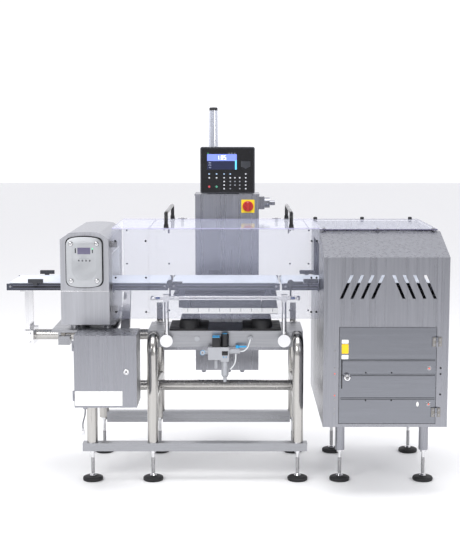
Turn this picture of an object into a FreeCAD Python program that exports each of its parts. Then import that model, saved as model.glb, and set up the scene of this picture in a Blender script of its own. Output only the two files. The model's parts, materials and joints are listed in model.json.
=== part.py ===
import FreeCAD, Part
import math
import os
import re

import Sketcher
from FreeCAD import Placement, Rotation, Vector

# Checkweigher with a metal detector: an infeed belt through the detector head, a weigh belt on
# four isolators, and an outfeed belt with a pusher that rejects into a lockable bin cabinet.
# Millimetres. X runs along the line, Y away from the operator, Z up from the floor.
# The origin is under the middle of the machine, on the floor.

SIZES = {
    "whole machine": {
        "overall_length": 2017, "overall_depth": 1110, "running_gap": 0.3, "sheet_wall": 2,
    },
    "line": {
        "belt_top": 923, "belt_width": 300, "belt_thickness": 2, "belt_side_gap": 4, "bed_thickness": 6,
        "side_rail_height": 31, "side_rail_thickness": 8, "roller_radius": 14, "roller_shaft_radius": 5,
        "tail_setback": 17, "transfer_gap": 10, "weigh_length": 515, "weigh_centre": 17.5,
        "motor_radius": 29, "motor_length": 150, "motor_drop": 39, "gearbox_half": 20,
        "support_height": 22, "carrier_thickness": 8, "load_cell_top": 862, "base_top": 800,
        "base_thickness": 29, "isolator_radius": 48, "isolator_spread": 160, "isolator_left": -153.5,
        "isolator_right": 193.5, "isolator_plate": 9, "base_left": -184.5, "base_right": 267.5,
        "base_front": -130, "base_back": 95, "scale_height": 26, "scale_thickness": 2,
    },
    "frame": {
        "beam_length": 733, "beam_centre": 19, "beam_depth": 270, "beam_setback": 15, "beam_top": 694,
        "beam_height": 78, "beam_wall": 3, "tube_radius": 25.4, "tube_wall": 2, "leg_spread": 500,
        "portal_inset": 27, "portal_drop": 3, "bend_radius": 68, "infeed_leg_from_beam": 257,
        "leg_bottom": 182, "rail_height": 38, "rail_depth": 50, "rail_wall": 2, "rail_overhang": 44,
        "rear_rail_bottom": 158, "rear_rail_height": 56, "rear_rail_depth": 40, "stretcher_height": 401,
        "spine_drop": 42, "spine_setback": 70, "clamp_length": 47, "clamp_depth": 155,
        "clamp_height": 62, "clamp_overlap": 36, "strut_width": 20, "strut_thickness": 8,
        "strut_spread": 120, "pad_radius": 47.5, "pad_height": 24,
        "spindle_radius": 8, "lock_nut_radius": 14, "lock_nut_height": 12, "foot_plug": 30,
    },
    "detector head": {
        "head_centre": -621.5, "head_length": 222, "head_depth": 620, "head_rise": 56, "head_top": 1172,
        "head_chamfer_width": 42, "head_chamfer_height": 29, "head_crown": 5, "head_seam": 905,
        "head_cover_thickness": 3, "head_wall": 3, "aperture_width": 360, "aperture_bottom": 868,
        "aperture_height": 200, "liner_thickness": 6, "coil_thickness": 10, "coil_width": 14,
        "coil_pitch": 62, "panel_width": 162, "panel_side_height": 202, "panel_bow": 14,
        "panel_bottom": 925, "panel_thickness": 12, "panel_corner": 22, "panel_recess": 3,
        "gasket_thickness": 4, "gasket_border": 5, "screw_radius": 9, "screw_height": 4,
        "mount_plate": 12, "mount_overhang": 18, "damper_radius": 22, "damper_height": 24,
        "saddle_half": 45, "saddle_length": 56, "lever_reach": 55,
    },
    "control box": {
        "box_centre": -513.5, "box_width": 280, "box_depth": 200, "box_bottom": 403, "box_height": 327,
        "box_standoff": 14.6, "box_wall": 2, "box_door_thickness": 18, "seal_gap": 1,
        "box_lock_radius": 14, "box_lock_reach": 9, "box_lock_inset": 46.5, "pin_radius": 3,
        "knuckle_radius": 6, "hinge_length": 46, "gland_radius": 11, "gland_length": 31,
        "gland_x": -620, "gland_y": -380,
    },
    "guards": {
        "guard_top": 1190, "guard_front": -250, "guard_back": 320, "guard_sheet": 6,
        "guard_front_bottom": 768, "guard_rear_bottom": 682, "guard_gap": 8, "fixed_left_width": 170,
        "fixed_right_width": 50, "lid_clearance": 2, "handle_height": 78, "handle_grip_radius": 10,
        "handle_span": 120, "handle_inset": 76, "lid_hinge_inset": 130, "lid_hinge_offset": 6,
    },
    "reject cabinet": {
        "cabinet_width": 553, "cabinet_depth": 910, "cabinet_bottom": 325, "cabinet_front_top": 1084,
        "cabinet_top": 1174, "cabinet_slope_depth": 280, "lock_reach": 25, "cabinet_wall": 2.5,
        "cabinet_leg_inset_left": 101, "cabinet_leg_inset_right": 60, "cabinet_leg_radius": 22,
        "cabinet_leg_bottom": 148, "divider_depth": 350, "door_side_margin": 69, "door_width": 432,
        "door_foot": 14, "door_top": 776, "door_depth": 20, "door_clearance": 2, "door_hinge_width": 43,
        "door_hinge_offset": 8, "lock_radius": 17, "lock_inset": 36.5, "lock_height": 552,
        "slot_width": 14, "slot_height": 105, "slot_lean": 46.5, "slot_pitch": 45.8, "slot_bottom": 901.5,
        "slot_gap": 45, "cover_thickness": 5, "cover_lift": 6, "cover_short": 12, "top_flange": 18,
        "tunnel_foot": 8, "tunnel_height": 230, "tunnel_width": 400, "bin_height": 300,
        "bin_clearance": 20, "pusher_stroke": 150, "pusher_x": 690, "pusher_width": 180,
        "pusher_height": 70, "pusher_rod_radius": 8, "cylinder_side": 50,
    },
    "column": {
        "column_centre": 22.5, "column_width": 324, "column_depth": 205, "column_bottom": 403,
        "column_top": 1312, "column_lip": 3, "column_wall": 2, "terminal_width": 276,
        "terminal_height": 235, "terminal_depth": 62, "terminal_lift": 3, "terminal_shift": 3,
        "terminal_corner": 9, "switch_x": 129, "switch_drop": 61, "switch_plate": 67,
        "switch_plate_thickness": 4, "knob_radius": 27, "knob_reach": 26, "beacon_shift": -70,
        "beacon_setback": 120, "beacon_radius": 29, "beacon_top_radius": 22, "beacon_height": 439,
        "column_bracket_height": 620,
    },
    "sensors": {
        "rod_y": -170, "rod_radius": 4.5, "rod_drop": 64, "rod_pitch": 11, "rod_inset": 15, "rod_collar": 12,
        "post_radius": 11, "left_post": -258.5, "right_post": 295.5, "flange_radius": 30,
        "flange_height": 652, "post_foot": 620, "clamp_half": 14, "cell_length": 70, "cell_height": 18,
        "cell_depth": 16, "cell_lift": 6, "barrel_radius": 7, "ball_radius": 15, "eye_lift": 2,
    },
    "air": {
        "air_x": 17, "air_y": -182, "air_top": 624, "regulator_side": 38, "regulator_height": 69,
        "air_knob_radius": 19, "air_knob_height": 62, "bowl_radius": 17, "bowl_height": 73, "bowl_neck": 26,
        "air_half_depth": 22, "valve_width": 60, "valve_height": 60, "solenoid_width": 35, "solenoid_height": 50,
        "solenoid_inset": 5, "silencer_length": 44, "elbow_drop": 26, "elbow_reach": 36, "elbow_radius": 10,
        "outlet_drop": 22, "outlet_reach": 52, "outlet_radius": 12, "shutoff_shift": 40, "shutoff_length": 42, "shutoff_sink": 6,
        "union_shift": 120, "union_rise": 8, "union_radius": 11, "union_length": 16, "plug_shift": 132,
        "hose_radius": 3, "cord_radius": 3.5, "inlet_radius": 3.05, "inlet_depth": 20,
    },
}


def make_sheet(doc):
    """Write every size as a plain number with an alias, one group under another."""
    sheet = doc.addObject("Spreadsheet::Sheet", "dims")
    row = 1
    for group, sizes in SIZES.items():
        sheet.set(f"A{row}", group)
        row += 1
        for alias, number in sizes.items():
            sheet.set(f"A{row}", alias.replace("_", " "))
            sheet.set(f"B{row}", str(number))
            sheet.setAlias(f"B{row}", alias)
            row += 1
    return sheet

# Places worked out from the sizes. Each is a formula that names sizes or other places.
PLACES = {
    "line_left": "-overall_length / 2",
    "line_right": "overall_length / 2",
    "belt_bottom": "belt_top - belt_thickness",
    "rail_top": "belt_bottom - 1",
    "rail_bottom": "rail_top - side_rail_height",
    "rail_inner": "belt_width / 2 + belt_side_gap",
    "rail_outer": "rail_inner + side_rail_thickness",
    "roller_axis": "belt_bottom - running_gap - roller_radius",
    "loop_radius": "roller_radius + running_gap",
    "gearbox_back": "rail_outer + 2 * motor_radius + 4",
    "weigh_left": "weigh_centre - weigh_length / 2",
    "weigh_right": "weigh_centre + weigh_length / 2",
    "infeed_right": "weigh_left - transfer_gap",
    "outfeed_left": "weigh_right + transfer_gap",
    "outfeed_right": "line_right - transfer_gap",
    "beam_left": "beam_centre - beam_length / 2",
    "beam_right": "beam_centre + beam_length / 2",
    "beam_front": "-belt_width / 2",
    "beam_back": "beam_front + beam_depth",
    "beam_bottom": "beam_top - beam_height",
    "leg_front": "-leg_spread / 2",
    "leg_back": "leg_spread / 2",
    "left_portal": "beam_left + portal_inset",
    "right_portal": "beam_right - portal_inset",
    "infeed_portal": "beam_left - infeed_leg_from_beam",
    "portal_axis": "beam_top - tube_radius - portal_drop",
    "head_bottom": "beam_top + head_rise",
    "spine_height": "beam_top - spine_drop",
    "infeed_bar_axis": "spine_height - 2 * tube_radius",
    "spine_left": "line_left + spine_setback",
    "rail_floor": "leg_bottom - rail_height",
    "head_left": "head_centre - head_length / 2",
    "head_right": "head_centre + head_length / 2",
    "head_front": "-head_depth / 2",
    "head_back": "head_depth / 2",
    "cover_front": "head_front - head_cover_thickness",
    "panel_left": "head_centre - panel_width / 2",
    "panel_side_bottom": "panel_bottom + panel_bow",
    "panel_back": "cover_front - gasket_thickness",
    "panel_front": "panel_back - panel_thickness",
    "damper_top": "head_bottom - mount_plate",
    "saddle_top": "damper_top - damper_height - mount_plate",
    "clamp_left": "spine_left - clamp_length + clamp_overlap",
    "lever_x": "head_left - saddle_length / 2",
    "aperture_top": "aperture_bottom + aperture_height",
    "box_left": "box_centre - box_width / 2",
    "box_right": "box_centre + box_width / 2",
    "box_back": "leg_front - tube_radius - box_standoff",
    "box_front": "box_back - box_depth",
    "box_top": "box_bottom + box_height",
    "box_door_back": "box_front + box_door_thickness",
    "box_hinge_x": "box_left - knuckle_radius",
    "box_hinge_y": "box_door_back + 2",
    "lid_hinge_y": "guard_back + lid_hinge_offset",
    "lid_hinge_z": "guard_top",
    "guard_left": "head_right + guard_gap",
    "guard_right": "cabinet_left - 2",
    "lid_left": "guard_left + fixed_left_width",
    "lid_right": "guard_right - fixed_right_width",
    "cabinet_right": "line_right",
    "cabinet_left": "line_right - cabinet_width",
    "cabinet_front": "-overall_depth / 2 + lock_reach",
    "cabinet_back": "cabinet_front + cabinet_depth",
    "cabinet_leg_left": "cabinet_left + cabinet_leg_inset_left",
    "cabinet_leg_right": "cabinet_right - cabinet_leg_inset_right",
    "cabinet_door_left": "cabinet_left + door_side_margin",
    "cabinet_door_right": "cabinet_door_left + door_width",
    "cabinet_inner_left": "cabinet_left + cabinet_wall",
    "cabinet_inner_right": "cabinet_right - cabinet_wall",
    "cabinet_inner_back": "cabinet_back - cabinet_wall",
    "cabinet_floor": "cabinet_bottom + cabinet_wall",
    "divider_y": "cabinet_front + divider_depth",
    "tunnel_bottom": "rail_bottom - tunnel_foot",
    "door_hinge_y": "cabinet_front - door_hinge_offset",
    "door_bottom": "cabinet_bottom + door_foot",
    "pusher_z": "belt_top + 52",
    "pusher_rest": "rail_outer + 8",
    "column_back": "overall_depth / 2",
    "column_front": "column_back - column_depth",
    "column_left": "column_centre - column_width / 2",
    "column_right": "column_centre + column_width / 2",
    "terminal_bottom": "column_top + terminal_lift",
    "terminal_left": "column_centre + terminal_shift - terminal_width / 2",
    "terminal_front": "column_front + 2",
    "switch_face": "column_front - switch_plate_thickness",
    "switch_height": "column_top - switch_drop",
    "high_rod_height": "belt_top - rod_drop",
    "low_rod_height": "high_rod_height - rod_pitch",
    "eye_height": "belt_top + eye_lift",
    "air_left": "air_x - regulator_side / 2",
    "air_right": "air_x + regulator_side / 2",
    "rod_left": "beam_left + rod_inset",
    "rod_right": "beam_right - rod_inset",
    "terminal_top": "terminal_bottom + terminal_height",
}

NAMES = {alias for sizes in SIZES.values() for alias in sizes}
WORD = re.compile(r"[a-z][a-z0-9_]*")
TURNS = {"x": Rotation(Vector(0, 1, 0), 90), "y": Rotation(Vector(1, 0, 0), -90), "z": Rotation()}
SKETCH_PLANES = {"x": "YZ_Plane", "y": "XZ_Plane", "z": "XY_Plane"}

doc = FreeCAD.newDocument("checkweigher_with_metal_detector")
sheet = make_sheet(doc)
NODES = []


def formula(text):
    """Turn a formula of size and place names into one that the document can work out."""
    def swap(match):
        word = match.group(0)
        if word in PLACES:
            return f"({formula(PLACES[word])})"
        return f"dims.{word}" if word in NAMES else word
    return WORD.sub(swap, str(text))


def bind(thing, prop, text):
    thing.setExpression(prop, formula(text))


def place(thing, x=0, y=0, z=0):
    """Bind where a piece stands."""
    for letter, text in zip("xyz", (x, y, z)):
        bind(thing, f"Placement.Base.{letter}", text)
    return thing


def block(name, x, y, z):
    """A plain rectangular piece between two faces along each axis."""
    box = doc.addObject("Part::Box", name)
    for prop, (low, high) in zip(("Length", "Width", "Height"), (x, y, z)):
        bind(box, prop, f"({high}) - ({low})")
    return place(box, x[0], y[0], z[0])


def rod(name, axis, across, span, radius):
    """A round bar along one axis; across holds its other two coordinates in x, y, z order."""
    bar = doc.addObject("Part::Cylinder", name)
    bar.Placement = Placement(Vector(), TURNS[axis])
    bind(bar, "Radius", radius)
    bind(bar, "Height", f"({span[1]}) - ({span[0]})")
    spots = list(across)
    spots.insert("xyz".index(axis), span[0])
    return place(bar, *spots)


def cut(name, base, *tools):
    """Take the tools away from the base, all at once."""
    piece = doc.addObject("Part::Cut", name)
    piece.Base = base
    piece.Tool = tools[0] if len(tools) == 1 else fuse(name + "_tools", *tools)
    return piece


def fuse(name, *pieces):
    piece = doc.addObject("Part::MultiFuse", name)
    piece.Shapes = list(pieces)
    piece.Refine = True
    return piece


def tube(name, axis, across, span, radius, wall):
    """A round tube: a bar with a bore right through it."""
    outer = rod(name + "_outer", axis, across, span, radius)
    bore = rod(name + "_bore", axis, across, span, f"({radius}) - ({wall})")
    return cut(name, outer, bore)


def box_tube(name, axis, x, y, z, wall):
    """A rectangular tube, open at both ends of its axis."""
    spans = {"x": x, "y": y, "z": z}
    inner = {key: span if key == axis else (f"({span[0]}) + {wall}", f"({span[1]}) - {wall}")
             for key, span in spans.items()}
    outer = block(name + "_outer", x, y, z)
    return cut(name, outer, block(name + "_bore", inner["x"], inner["y"], inner["z"]))


def node(label, *pieces):
    """Make one sub-part of one piece, or of several separate solids."""
    if len(pieces) == 1:
        part = pieces[0]
    else:
        part = doc.addObject("Part::Compound", label)
        part.Links = list(pieces)
    part.Label = label
    NODES.append(part)
    return part


def new_body(name, x=0, y=0, z=0):
    return place(doc.addObject("PartDesign::Body", name), x, y, z)


def sketch(body, name, axis, points):
    """Draw a closed outline, each corner held by two bound distances from the body's origin."""
    drawing = body.newObject("Sketcher::SketchObject", name)
    planes = {plane.Role: plane for plane in body.Origin.OriginFeatures}
    drawing.AttachmentSupport = [(planes[SKETCH_PLANES[axis]], "")]
    drawing.MapMode = "FlatFace"
    count = len(points)
    starts = [Rotation(Vector(0, 0, 1), 360 * i / count).multVec(Vector(50, 0, 0)) for i in range(count)]
    for i in range(count):
        drawing.addGeometry(Part.LineSegment(starts[i], starts[(i + 1) % count]))
    for i, (across, up) in enumerate(points):
        drawing.addConstraint(Sketcher.Constraint("Coincident", i, 2, (i + 1) % count, 1))
        for kind, text, start in (("DistanceX", across, starts[i].x), ("DistanceY", up, starts[i].y)):
            index = drawing.addConstraint(Sketcher.Constraint(kind, -1, 1, i, 1, start))
            bind(drawing, f"Constraints[{index}]", text)
    return drawing


def extrude(name, axis, points, length, x=0, y=0, z=0):
    """Pad an outline along its axis, away from the body's origin towards the positive end."""
    body = new_body(name, x, y, z)
    pad = body.newObject("PartDesign::Pad", name + "_pad")
    pad.Profile = sketch(body, name + "_outline", axis, points)
    pad.Reversed = axis == "y"
    bind(pad, "Length", length)
    return body


def pocket(body, axis, points, depth):
    """Cut an outline out of a body, from the body's origin towards the positive end of the axis."""
    before = body.Tip
    name = f"{body.Name}_pocket_{len(body.Group)}"
    hole = body.newObject("PartDesign::Pocket", name)
    hole.Profile = sketch(body, name + "_outline", axis, points)
    hole.Reversed = axis != "y"
    bind(hole, "Length", depth)
    doc.recompute()
    if hole.Shape.Volume > before.Shape.Volume - 1:
        raise RuntimeError(f"{name} cuts nothing")
    return body


def round_edges(body, axis, radius, keep=lambda edge: True):
    """Fillet the straight edges that run along one axis."""
    doc.recompute()
    shape = body.Tip.Shape
    chosen = [f"Edge{i + 1}" for i, edge in enumerate(shape.Edges)
              if runs_along(edge, axis) and keep(edge)]
    name = f"{body.Name}_fillet_{len(body.Group)}"
    fillet = body.newObject("PartDesign::Fillet", name)
    fillet.Base = (body.Tip if body.Tip != fillet else fillet.BaseFeature, chosen)
    bind(fillet, "Radius", radius)
    body.Tip = fillet
    return body


def runs_along(edge, axis):
    """Tell whether an edge is a straight line along x, y or z."""
    if len(edge.Vertexes) < 2 or edge.Curve.TypeId != "Part::GeomLine":
        return False
    return abs(getattr(edge.Curve.Direction, axis)) > 0.999


def turn(name, points, axis="z", x=0, y=0, z=0):
    """Revolve an outline of (radius, height) corners into a round piece along an axis."""
    body = new_body(name)
    body.Placement = Placement(Vector(), TURNS[axis])
    place(body, x, y, z)
    spun = body.newObject("PartDesign::Revolution", name + "_turned")
    outline = sketch(body, name + "_profile", "y", points)
    spun.Profile = outline
    spun.ReferenceAxis = (outline, ["V_Axis"])
    spun.Angle = 360
    return body


def bent_leg(name, x, side, reach_to, axis_height):
    """A welded leg tube: up from the rail, round one bend, and level to where it is welded.

    side is -1 at the operator's side and 1 at the back; reach_to is where its level run ends."""
    leg_y = "leg_front" if side < 0 else "leg_back"
    turn_y = f"{leg_y} - ({side}) * bend_radius"
    turn_z = f"{axis_height} - bend_radius"
    shells = []
    for skin, radius in (("outer", "tube_radius"), ("bore", "tube_radius - tube_wall")):
        upright = rod(f"{name}_{skin}_upright", "z", (x, leg_y), ("leg_bottom", turn_z), radius)
        bend = doc.addObject("Part::Torus", f"{name}_{skin}_bend")
        bend.Placement = Placement(Vector(), Rotation(Vector(0, 0, 1), 90 * side) * Rotation(Vector(1, 0, 0), 90))
        bind(bend, "Radius1", "bend_radius")
        bind(bend, "Radius2", radius)
        bend.Angle3 = 90
        place(bend, x, turn_y, turn_z)
        span = (turn_y, reach_to) if side < 0 else (reach_to, turn_y)
        level = rod(f"{name}_{skin}_level", "y", (x, axis_height), span, radius)
        shells.append(fuse(f"{name}_{skin}", upright, bend, level))
    plug_span = ("leg_bottom", "leg_bottom + foot_plug")
    plug = cut(f"{name}_plug", rod(f"{name}_plug_round", "z", (x, leg_y), plug_span, "tube_radius - tube_wall"),
               rod(f"{name}_plug_thread", "z", (x, leg_y), plug_span, "spindle_radius"))
    return fuse(name, cut(f"{name}_shell", *shells), plug)


def make_frame():
    """The welded stand: table beam, three portals, spine, stretcher, foot rails and feet."""
    beam = box_tube("beam_tube", "x", ("beam_left", "beam_right"), ("beam_front", "beam_back"),
                    ("beam_bottom", "beam_top"), "beam_wall")
    caps = [block(f"beam_cap_{end}", (face, f"{face} + beam_wall"),
                  ("beam_front + beam_wall", "beam_back - beam_wall"),
                  ("beam_bottom + beam_wall", "beam_top - beam_wall"))
            for end, face in (("left", "beam_left"), ("right", "beam_right - beam_wall"))]
    node("table_beam", fuse("table_beam_welded", beam, *caps))

    node("main_portals", *[bent_leg(f"{x}_{'front' if side < 0 else 'back'}", x, side, weld, "portal_axis")
                           for x in ("left_portal", "right_portal")
                           for side, weld in ((-1, "beam_front"), (1, "beam_back"))])
    node("infeed_portal", fuse("infeed_portal_welded",
         bent_leg("infeed_portal_front", "infeed_portal", -1, 0, "infeed_bar_axis"),
         bent_leg("infeed_portal_back", "infeed_portal", 1, 0, "infeed_bar_axis")))

    spine = tube("spine", "x", (0, "spine_height"), ("spine_left", "beam_left"), "tube_radius", "tube_wall")
    end_cap = rod("spine_cap", "x", (0, "spine_height"), ("spine_left", "spine_left + tube_wall"),
                  "tube_radius - tube_wall")
    node("spine_tube", fuse("spine_closed", spine, end_cap))

    rungs = []
    for spot in ("infeed_portal", "left_portal", "right_portal"):
        rungs.append(tube(f"rung_{spot}", "y", (spot, "stretcher_height"),
                          ("leg_front", "leg_back"), "tube_radius", "tube_wall"))
    runs = [tube("long_run", "x", (0, "stretcher_height"), ("infeed_portal", "right_portal"),
                 "tube_radius", "tube_wall")]
    legs = [rod(f"cope_{spot}_{side}", "z", (spot, side), ("rail_floor", "beam_bottom"), "tube_radius")
            for spot in ("infeed_portal", "left_portal", "right_portal")
            for side in ("leg_front", "leg_back")]
    node("lower_stretcher", cut("stretcher_coped", fuse("stretcher_welded", *rungs, *runs), *legs))

    front = box_tube("front_rail", "x", ("infeed_portal - rail_overhang", "right_portal + rail_overhang"),
                     ("leg_front - rail_depth / 2", "leg_front + rail_depth / 2"),
                     ("rail_floor", "leg_bottom"), "rail_wall")
    holes = [rod(f"front_rail_hole_{spot}", "z", (spot, "leg_front"), ("rail_floor - 1", "leg_bottom + 1"),
                 "spindle_radius + running_gap")
             for spot in ("infeed_portal", "left_portal", "right_portal")]
    front_rail = cut("front_rail_drilled", front, *holes)

    rear = box_tube("rear_rail", "x", ("infeed_portal", "right_portal"),
                    ("leg_back - rear_rail_depth / 2", "leg_back + rear_rail_depth / 2"),
                    ("rear_rail_bottom", "rear_rail_bottom + rear_rail_height"), "rail_wall")
    notches = [rod(f"rear_rail_notch_{spot}", "z", (spot, "leg_back"),
                   ("rear_rail_bottom - 30", "rear_rail_bottom + rear_rail_height + 30"), "tube_radius")
               for spot in ("infeed_portal", "left_portal", "right_portal")]
    node("foot_rails", front_rail, cut("rear_rail_coped", rear, *notches))


def make_feet():
    """Ten levelling feet: a moulded pad, a threaded spindle and a lock nut each."""
    spots = [(x, y, "leg_bottom + foot_plug", "rail_floor" if y == "leg_front" else "leg_bottom")
             for x in ("infeed_portal", "left_portal", "right_portal") for y in ("leg_front", "leg_back")]
    for x in ("cabinet_leg_left", "cabinet_leg_right"):
        spots += [(x, "leg_front", "cabinet_leg_bottom + foot_plug", "cabinet_leg_bottom"),
                  (x, "leg_back", "cabinet_bottom", "cabinet_bottom")]
    pads, spindles = [], []
    for i, (x, y, top, nut_seat) in enumerate(spots, 1):
        pads.append(turn(f"pad_{i}", [(0, 4), ("pad_radius - 8", 4), ("pad_radius - 8", 0),
                                      ("pad_radius - 2", 0), ("pad_radius", 3), ("pad_radius", "pad_height / 2"),
                                      ("pad_radius * 0.45", "pad_height - 4"),
                                      ("pad_radius * 0.3", "pad_height"), (0, "pad_height")], x=x, y=y))
        stem = rod(f"stem_{i}", "z", (x, y), ("pad_height", top), "spindle_radius")
        nut = extrude(f"nut_{i}", "z", hexagon("lock_nut_radius"), "lock_nut_height", x, y,
                      f"{nut_seat} - lock_nut_height")
        bore = rod(f"nut_bore_{i}", "z", (x, y), (f"{nut_seat} - lock_nut_height", nut_seat),
                   "spindle_radius")
        spindles += [stem, cut(f"lock_nut_{i}", nut, bore)]
    node("foot_pads", *pads)
    node("foot_spindles", *spindles)


def hexagon(radius):
    """Six corners, each a share of the corner radius."""
    corners = [Rotation(Vector(0, 0, 1), 60 * i).multVec(Vector(1, 0, 0)) for i in range(6)]
    return [(f"({radius}) * {c.x:.6f}", f"({radius}) * {c.y:.6f}") for c in corners]


make_frame()
make_feet()


def stadium(name, left, right, radius, width):
    """A flat bar along X with round ends, as a belt loop lies round two rollers."""
    half = f"({width}) / 2"
    middle = block(f"{name}_flat", (left, right), (f"-{half}", half),
                   (f"roller_axis - ({radius})", f"roller_axis + ({radius})"))
    ends = [rod(f"{name}_end_{i}", "y", (x, "roller_axis"), (f"-{half}", half), radius)
            for i, x in enumerate((left, right))]
    return fuse(name, middle, *ends)


def make_conveyor(name, left, right):
    """One slider-bed conveyor: rails, bed, belt loop, two rollers, and a geared motor behind."""
    tail, drive = f"{left} + tail_setback", f"{right} - tail_setback"
    shafts = [rod(f"{name}_shaft_bore_{i}", "y", (x, "roller_axis"), ("-rail_outer - 1", "rail_outer + 1"),
                  "roller_shaft_radius + running_gap") for i, x in enumerate((tail, drive))]
    rails = [block(f"{name}_rail_{side}", (left, right), span, ("rail_bottom", "rail_top"))
             for side, span in (("front", ("-rail_outer", "-rail_inner")), ("back", ("rail_inner", "rail_outer")))]
    bed = block(f"{name}_bed", (f"{tail} + 2 * roller_radius", f"{drive} - 2 * roller_radius"),
                ("-rail_inner", "rail_inner"), ("belt_bottom - bed_thickness", "belt_bottom"))
    node(f"{name}_frame", cut(f"{name}_frame_drilled", fuse(f"{name}_frame_welded", *rails, bed), *shafts))

    outer = stadium(f"{name}_belt_outer", tail, drive, "loop_radius + belt_thickness", "belt_width")
    inner = stadium(f"{name}_belt_inner", tail, drive, "loop_radius", "belt_width")
    node(f"{name}_belt", cut(f"{name}_belt_loop", outer, inner))

    for part, x in (("tail_roller", tail), ("drive_roller", drive)):
        half_drum, half_shaft = "(belt_width / 2 + 1)", "(rail_outer + 1)"
        node(f"{name}_{part}", turn(f"{name}_{part}_turned", [
            (0, f"-{half_shaft}"), ("roller_shaft_radius", f"-{half_shaft}"),
            ("roller_shaft_radius", f"-{half_drum}"), ("roller_radius", f"-{half_drum}"),
            ("roller_radius", half_drum), ("roller_shaft_radius", half_drum),
            ("roller_shaft_radius", half_shaft), (0, half_shaft)], "y", x, 0, "roller_axis"))

    axis_y, axis_z = "rail_outer + motor_radius + 2", "belt_top - motor_drop"
    gearbox = block(f"{name}_gearbox", (f"{drive} - gearbox_half", f"{drive} + gearbox_half"),
                    ("rail_outer", "gearbox_back"),
                    (f"{axis_z} - motor_radius", f"{axis_z} + motor_radius"))
    recess = rod(f"{name}_gearbox_bore", "y", (drive, "roller_axis"), ("rail_outer", "rail_outer + 3"),
                 "roller_shaft_radius + 1")
    motor = rod(f"{name}_motor_can", "x", (axis_y, axis_z),
                (f"{drive} - gearbox_half - motor_length", f"{drive} - gearbox_half"), "motor_radius")
    return fuse(f"{name}_motor", cut(f"{name}_gearbox_bored", gearbox, recess), motor)


def make_weigh_base():
    """What the weigh belt stands on: isolators, base plate with a scale, load cell and carrier."""
    bells, plates = [], []
    middle = "(beam_front + beam_back) / 2"
    seat = "beam_top + isolator_plate"
    height = "base_top - base_thickness - beam_top - isolator_plate"
    for x in ("isolator_left", "isolator_right"):
        plates.append(block(f"plate_{x}", (f"{x} - isolator_radius - 45", f"{x} + isolator_radius + 41"),
                            ("beam_front + 8", "beam_back - 8"), ("beam_top", seat)))
        for side in (-1, 1):
            bells.append(turn(f"bell_{x}_{side + 1}", [
                (0, 0), ("isolator_radius", 0), ("isolator_radius", f"({height}) * 0.3"),
                ("isolator_radius * 0.9", f"({height}) * 0.55"), ("isolator_radius * 0.55", f"({height}) * 0.7"),
                ("isolator_radius * 0.52", height), (0, height)],
                "z", x, f"{middle} + ({side}) * isolator_spread / 2", seat))
    node("weigh_isolators", *plates, *bells)
    base = block("base_block", ("base_left", "base_right"), ("base_front", "base_back"),
                 ("base_top - base_thickness", "base_top"))
    pan = block("base_hollow", ("base_left + 4", "base_right - 4"), ("base_front + 4", "base_back - 4"),
                ("base_top - base_thickness + 4", "base_top - 4"))
    node("weigh_base", cut("weigh_base_pan", base, pan))
    node("guide_scale", block("guide_scale_strip", ("base_left", "base_right"),
                              ("base_front - scale_thickness", "base_front"),
                              ("base_top - scale_height", "base_top")))
    housing = block("cell_housing", ("base_left + 40", "base_right - 80"), ("base_front + 12", "base_back - 20"),
                    ("base_top", "load_cell_top"))
    blocks = [block(f"bridge_{i}", (left, f"{left} + {width}"), ("base_front + 12", "base_back - 20"),
                    ("base_top", "base_top + 46"))
              for i, (left, width) in enumerate((("base_left - 18", 52), ("base_right - 72", 66)))]
    node("load_cell", housing, *blocks)
    carrier = block("carrier_plate", ("weigh_left + 15", "weigh_right - 15"), ("-rail_outer", "rail_outer"),
                    ("load_cell_top", "load_cell_top + carrier_thickness"))
    lugs = [block(f"carrier_lug_{i}", (x, f"{x} + 30"), span, ("load_cell_top + carrier_thickness", "rail_bottom"))
            for i, (x, span) in enumerate((x, span) for x in ("weigh_left + 40", "weigh_right - 70")
                                          for span in (("-rail_outer", "-rail_inner"), ("rail_inner", "rail_outer")))]
    node("weigh_carrier", fuse("weigh_carrier_welded", carrier, *lugs))


node("conveyor_motors", *[make_conveyor(conveyor, start, end) for conveyor, start, end in (
    ("infeed", "line_left", "infeed_right"), ("weigh", "weigh_left", "weigh_right"),
    ("outfeed", "outfeed_left", "outfeed_right"))])
make_weigh_base()


def head_outline(inset="0", crown_steps=8):
    """The head seen from the front: square at the foot, chamfered and slightly crowned on top."""
    left, right = f"{inset}", f"head_length - ({inset})"
    foot, shoulder = f"{inset}", "head_top - head_bottom - head_chamfer_height"
    crown_start = f"head_chamfer_width + ({inset}) / 2"
    crown_width = f"(head_length - 2 * ({crown_start}))"
    points = [(left, foot), (right, foot), (right, f"{shoulder} - ({inset}) / 2")]
    for i in range(crown_steps + 1):
        share = 1 - i / crown_steps
        rise = 1 - (2 * share - 1) ** 2
        points.append((f"{crown_start} + {crown_width} * {share}",
                       f"head_top - head_bottom - ({inset}) + head_crown * {rise}"))
    return points + [(left, f"{shoulder} - ({inset}) / 2")]


def bowed_outline(border="0", steps=8):
    """The front panel's outline: straight sides, and a top and bottom that bow outwards."""
    low, high = f"-({border})", f"panel_side_height + ({border})"
    width = f"(panel_width + 2 * ({border}))"
    points = []
    for side, start in ((-1, low), (1, high)):
        for i in range(steps + 1):
            share = i / steps if side < 0 else 1 - i / steps
            bow = side * (1 - (2 * share - 1) ** 2)
            points.append((f"{width} * {share} - ({border})", f"{start} + panel_bow * {bow}"))
    return points


def at_corner(width):
    """Pick the upright edges at the two ends of an outline, near x = 0 and x = width."""
    return lambda edge: min(abs(edge.Vertexes[0].X), abs(edge.Vertexes[0].X - width)) < 6


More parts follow.
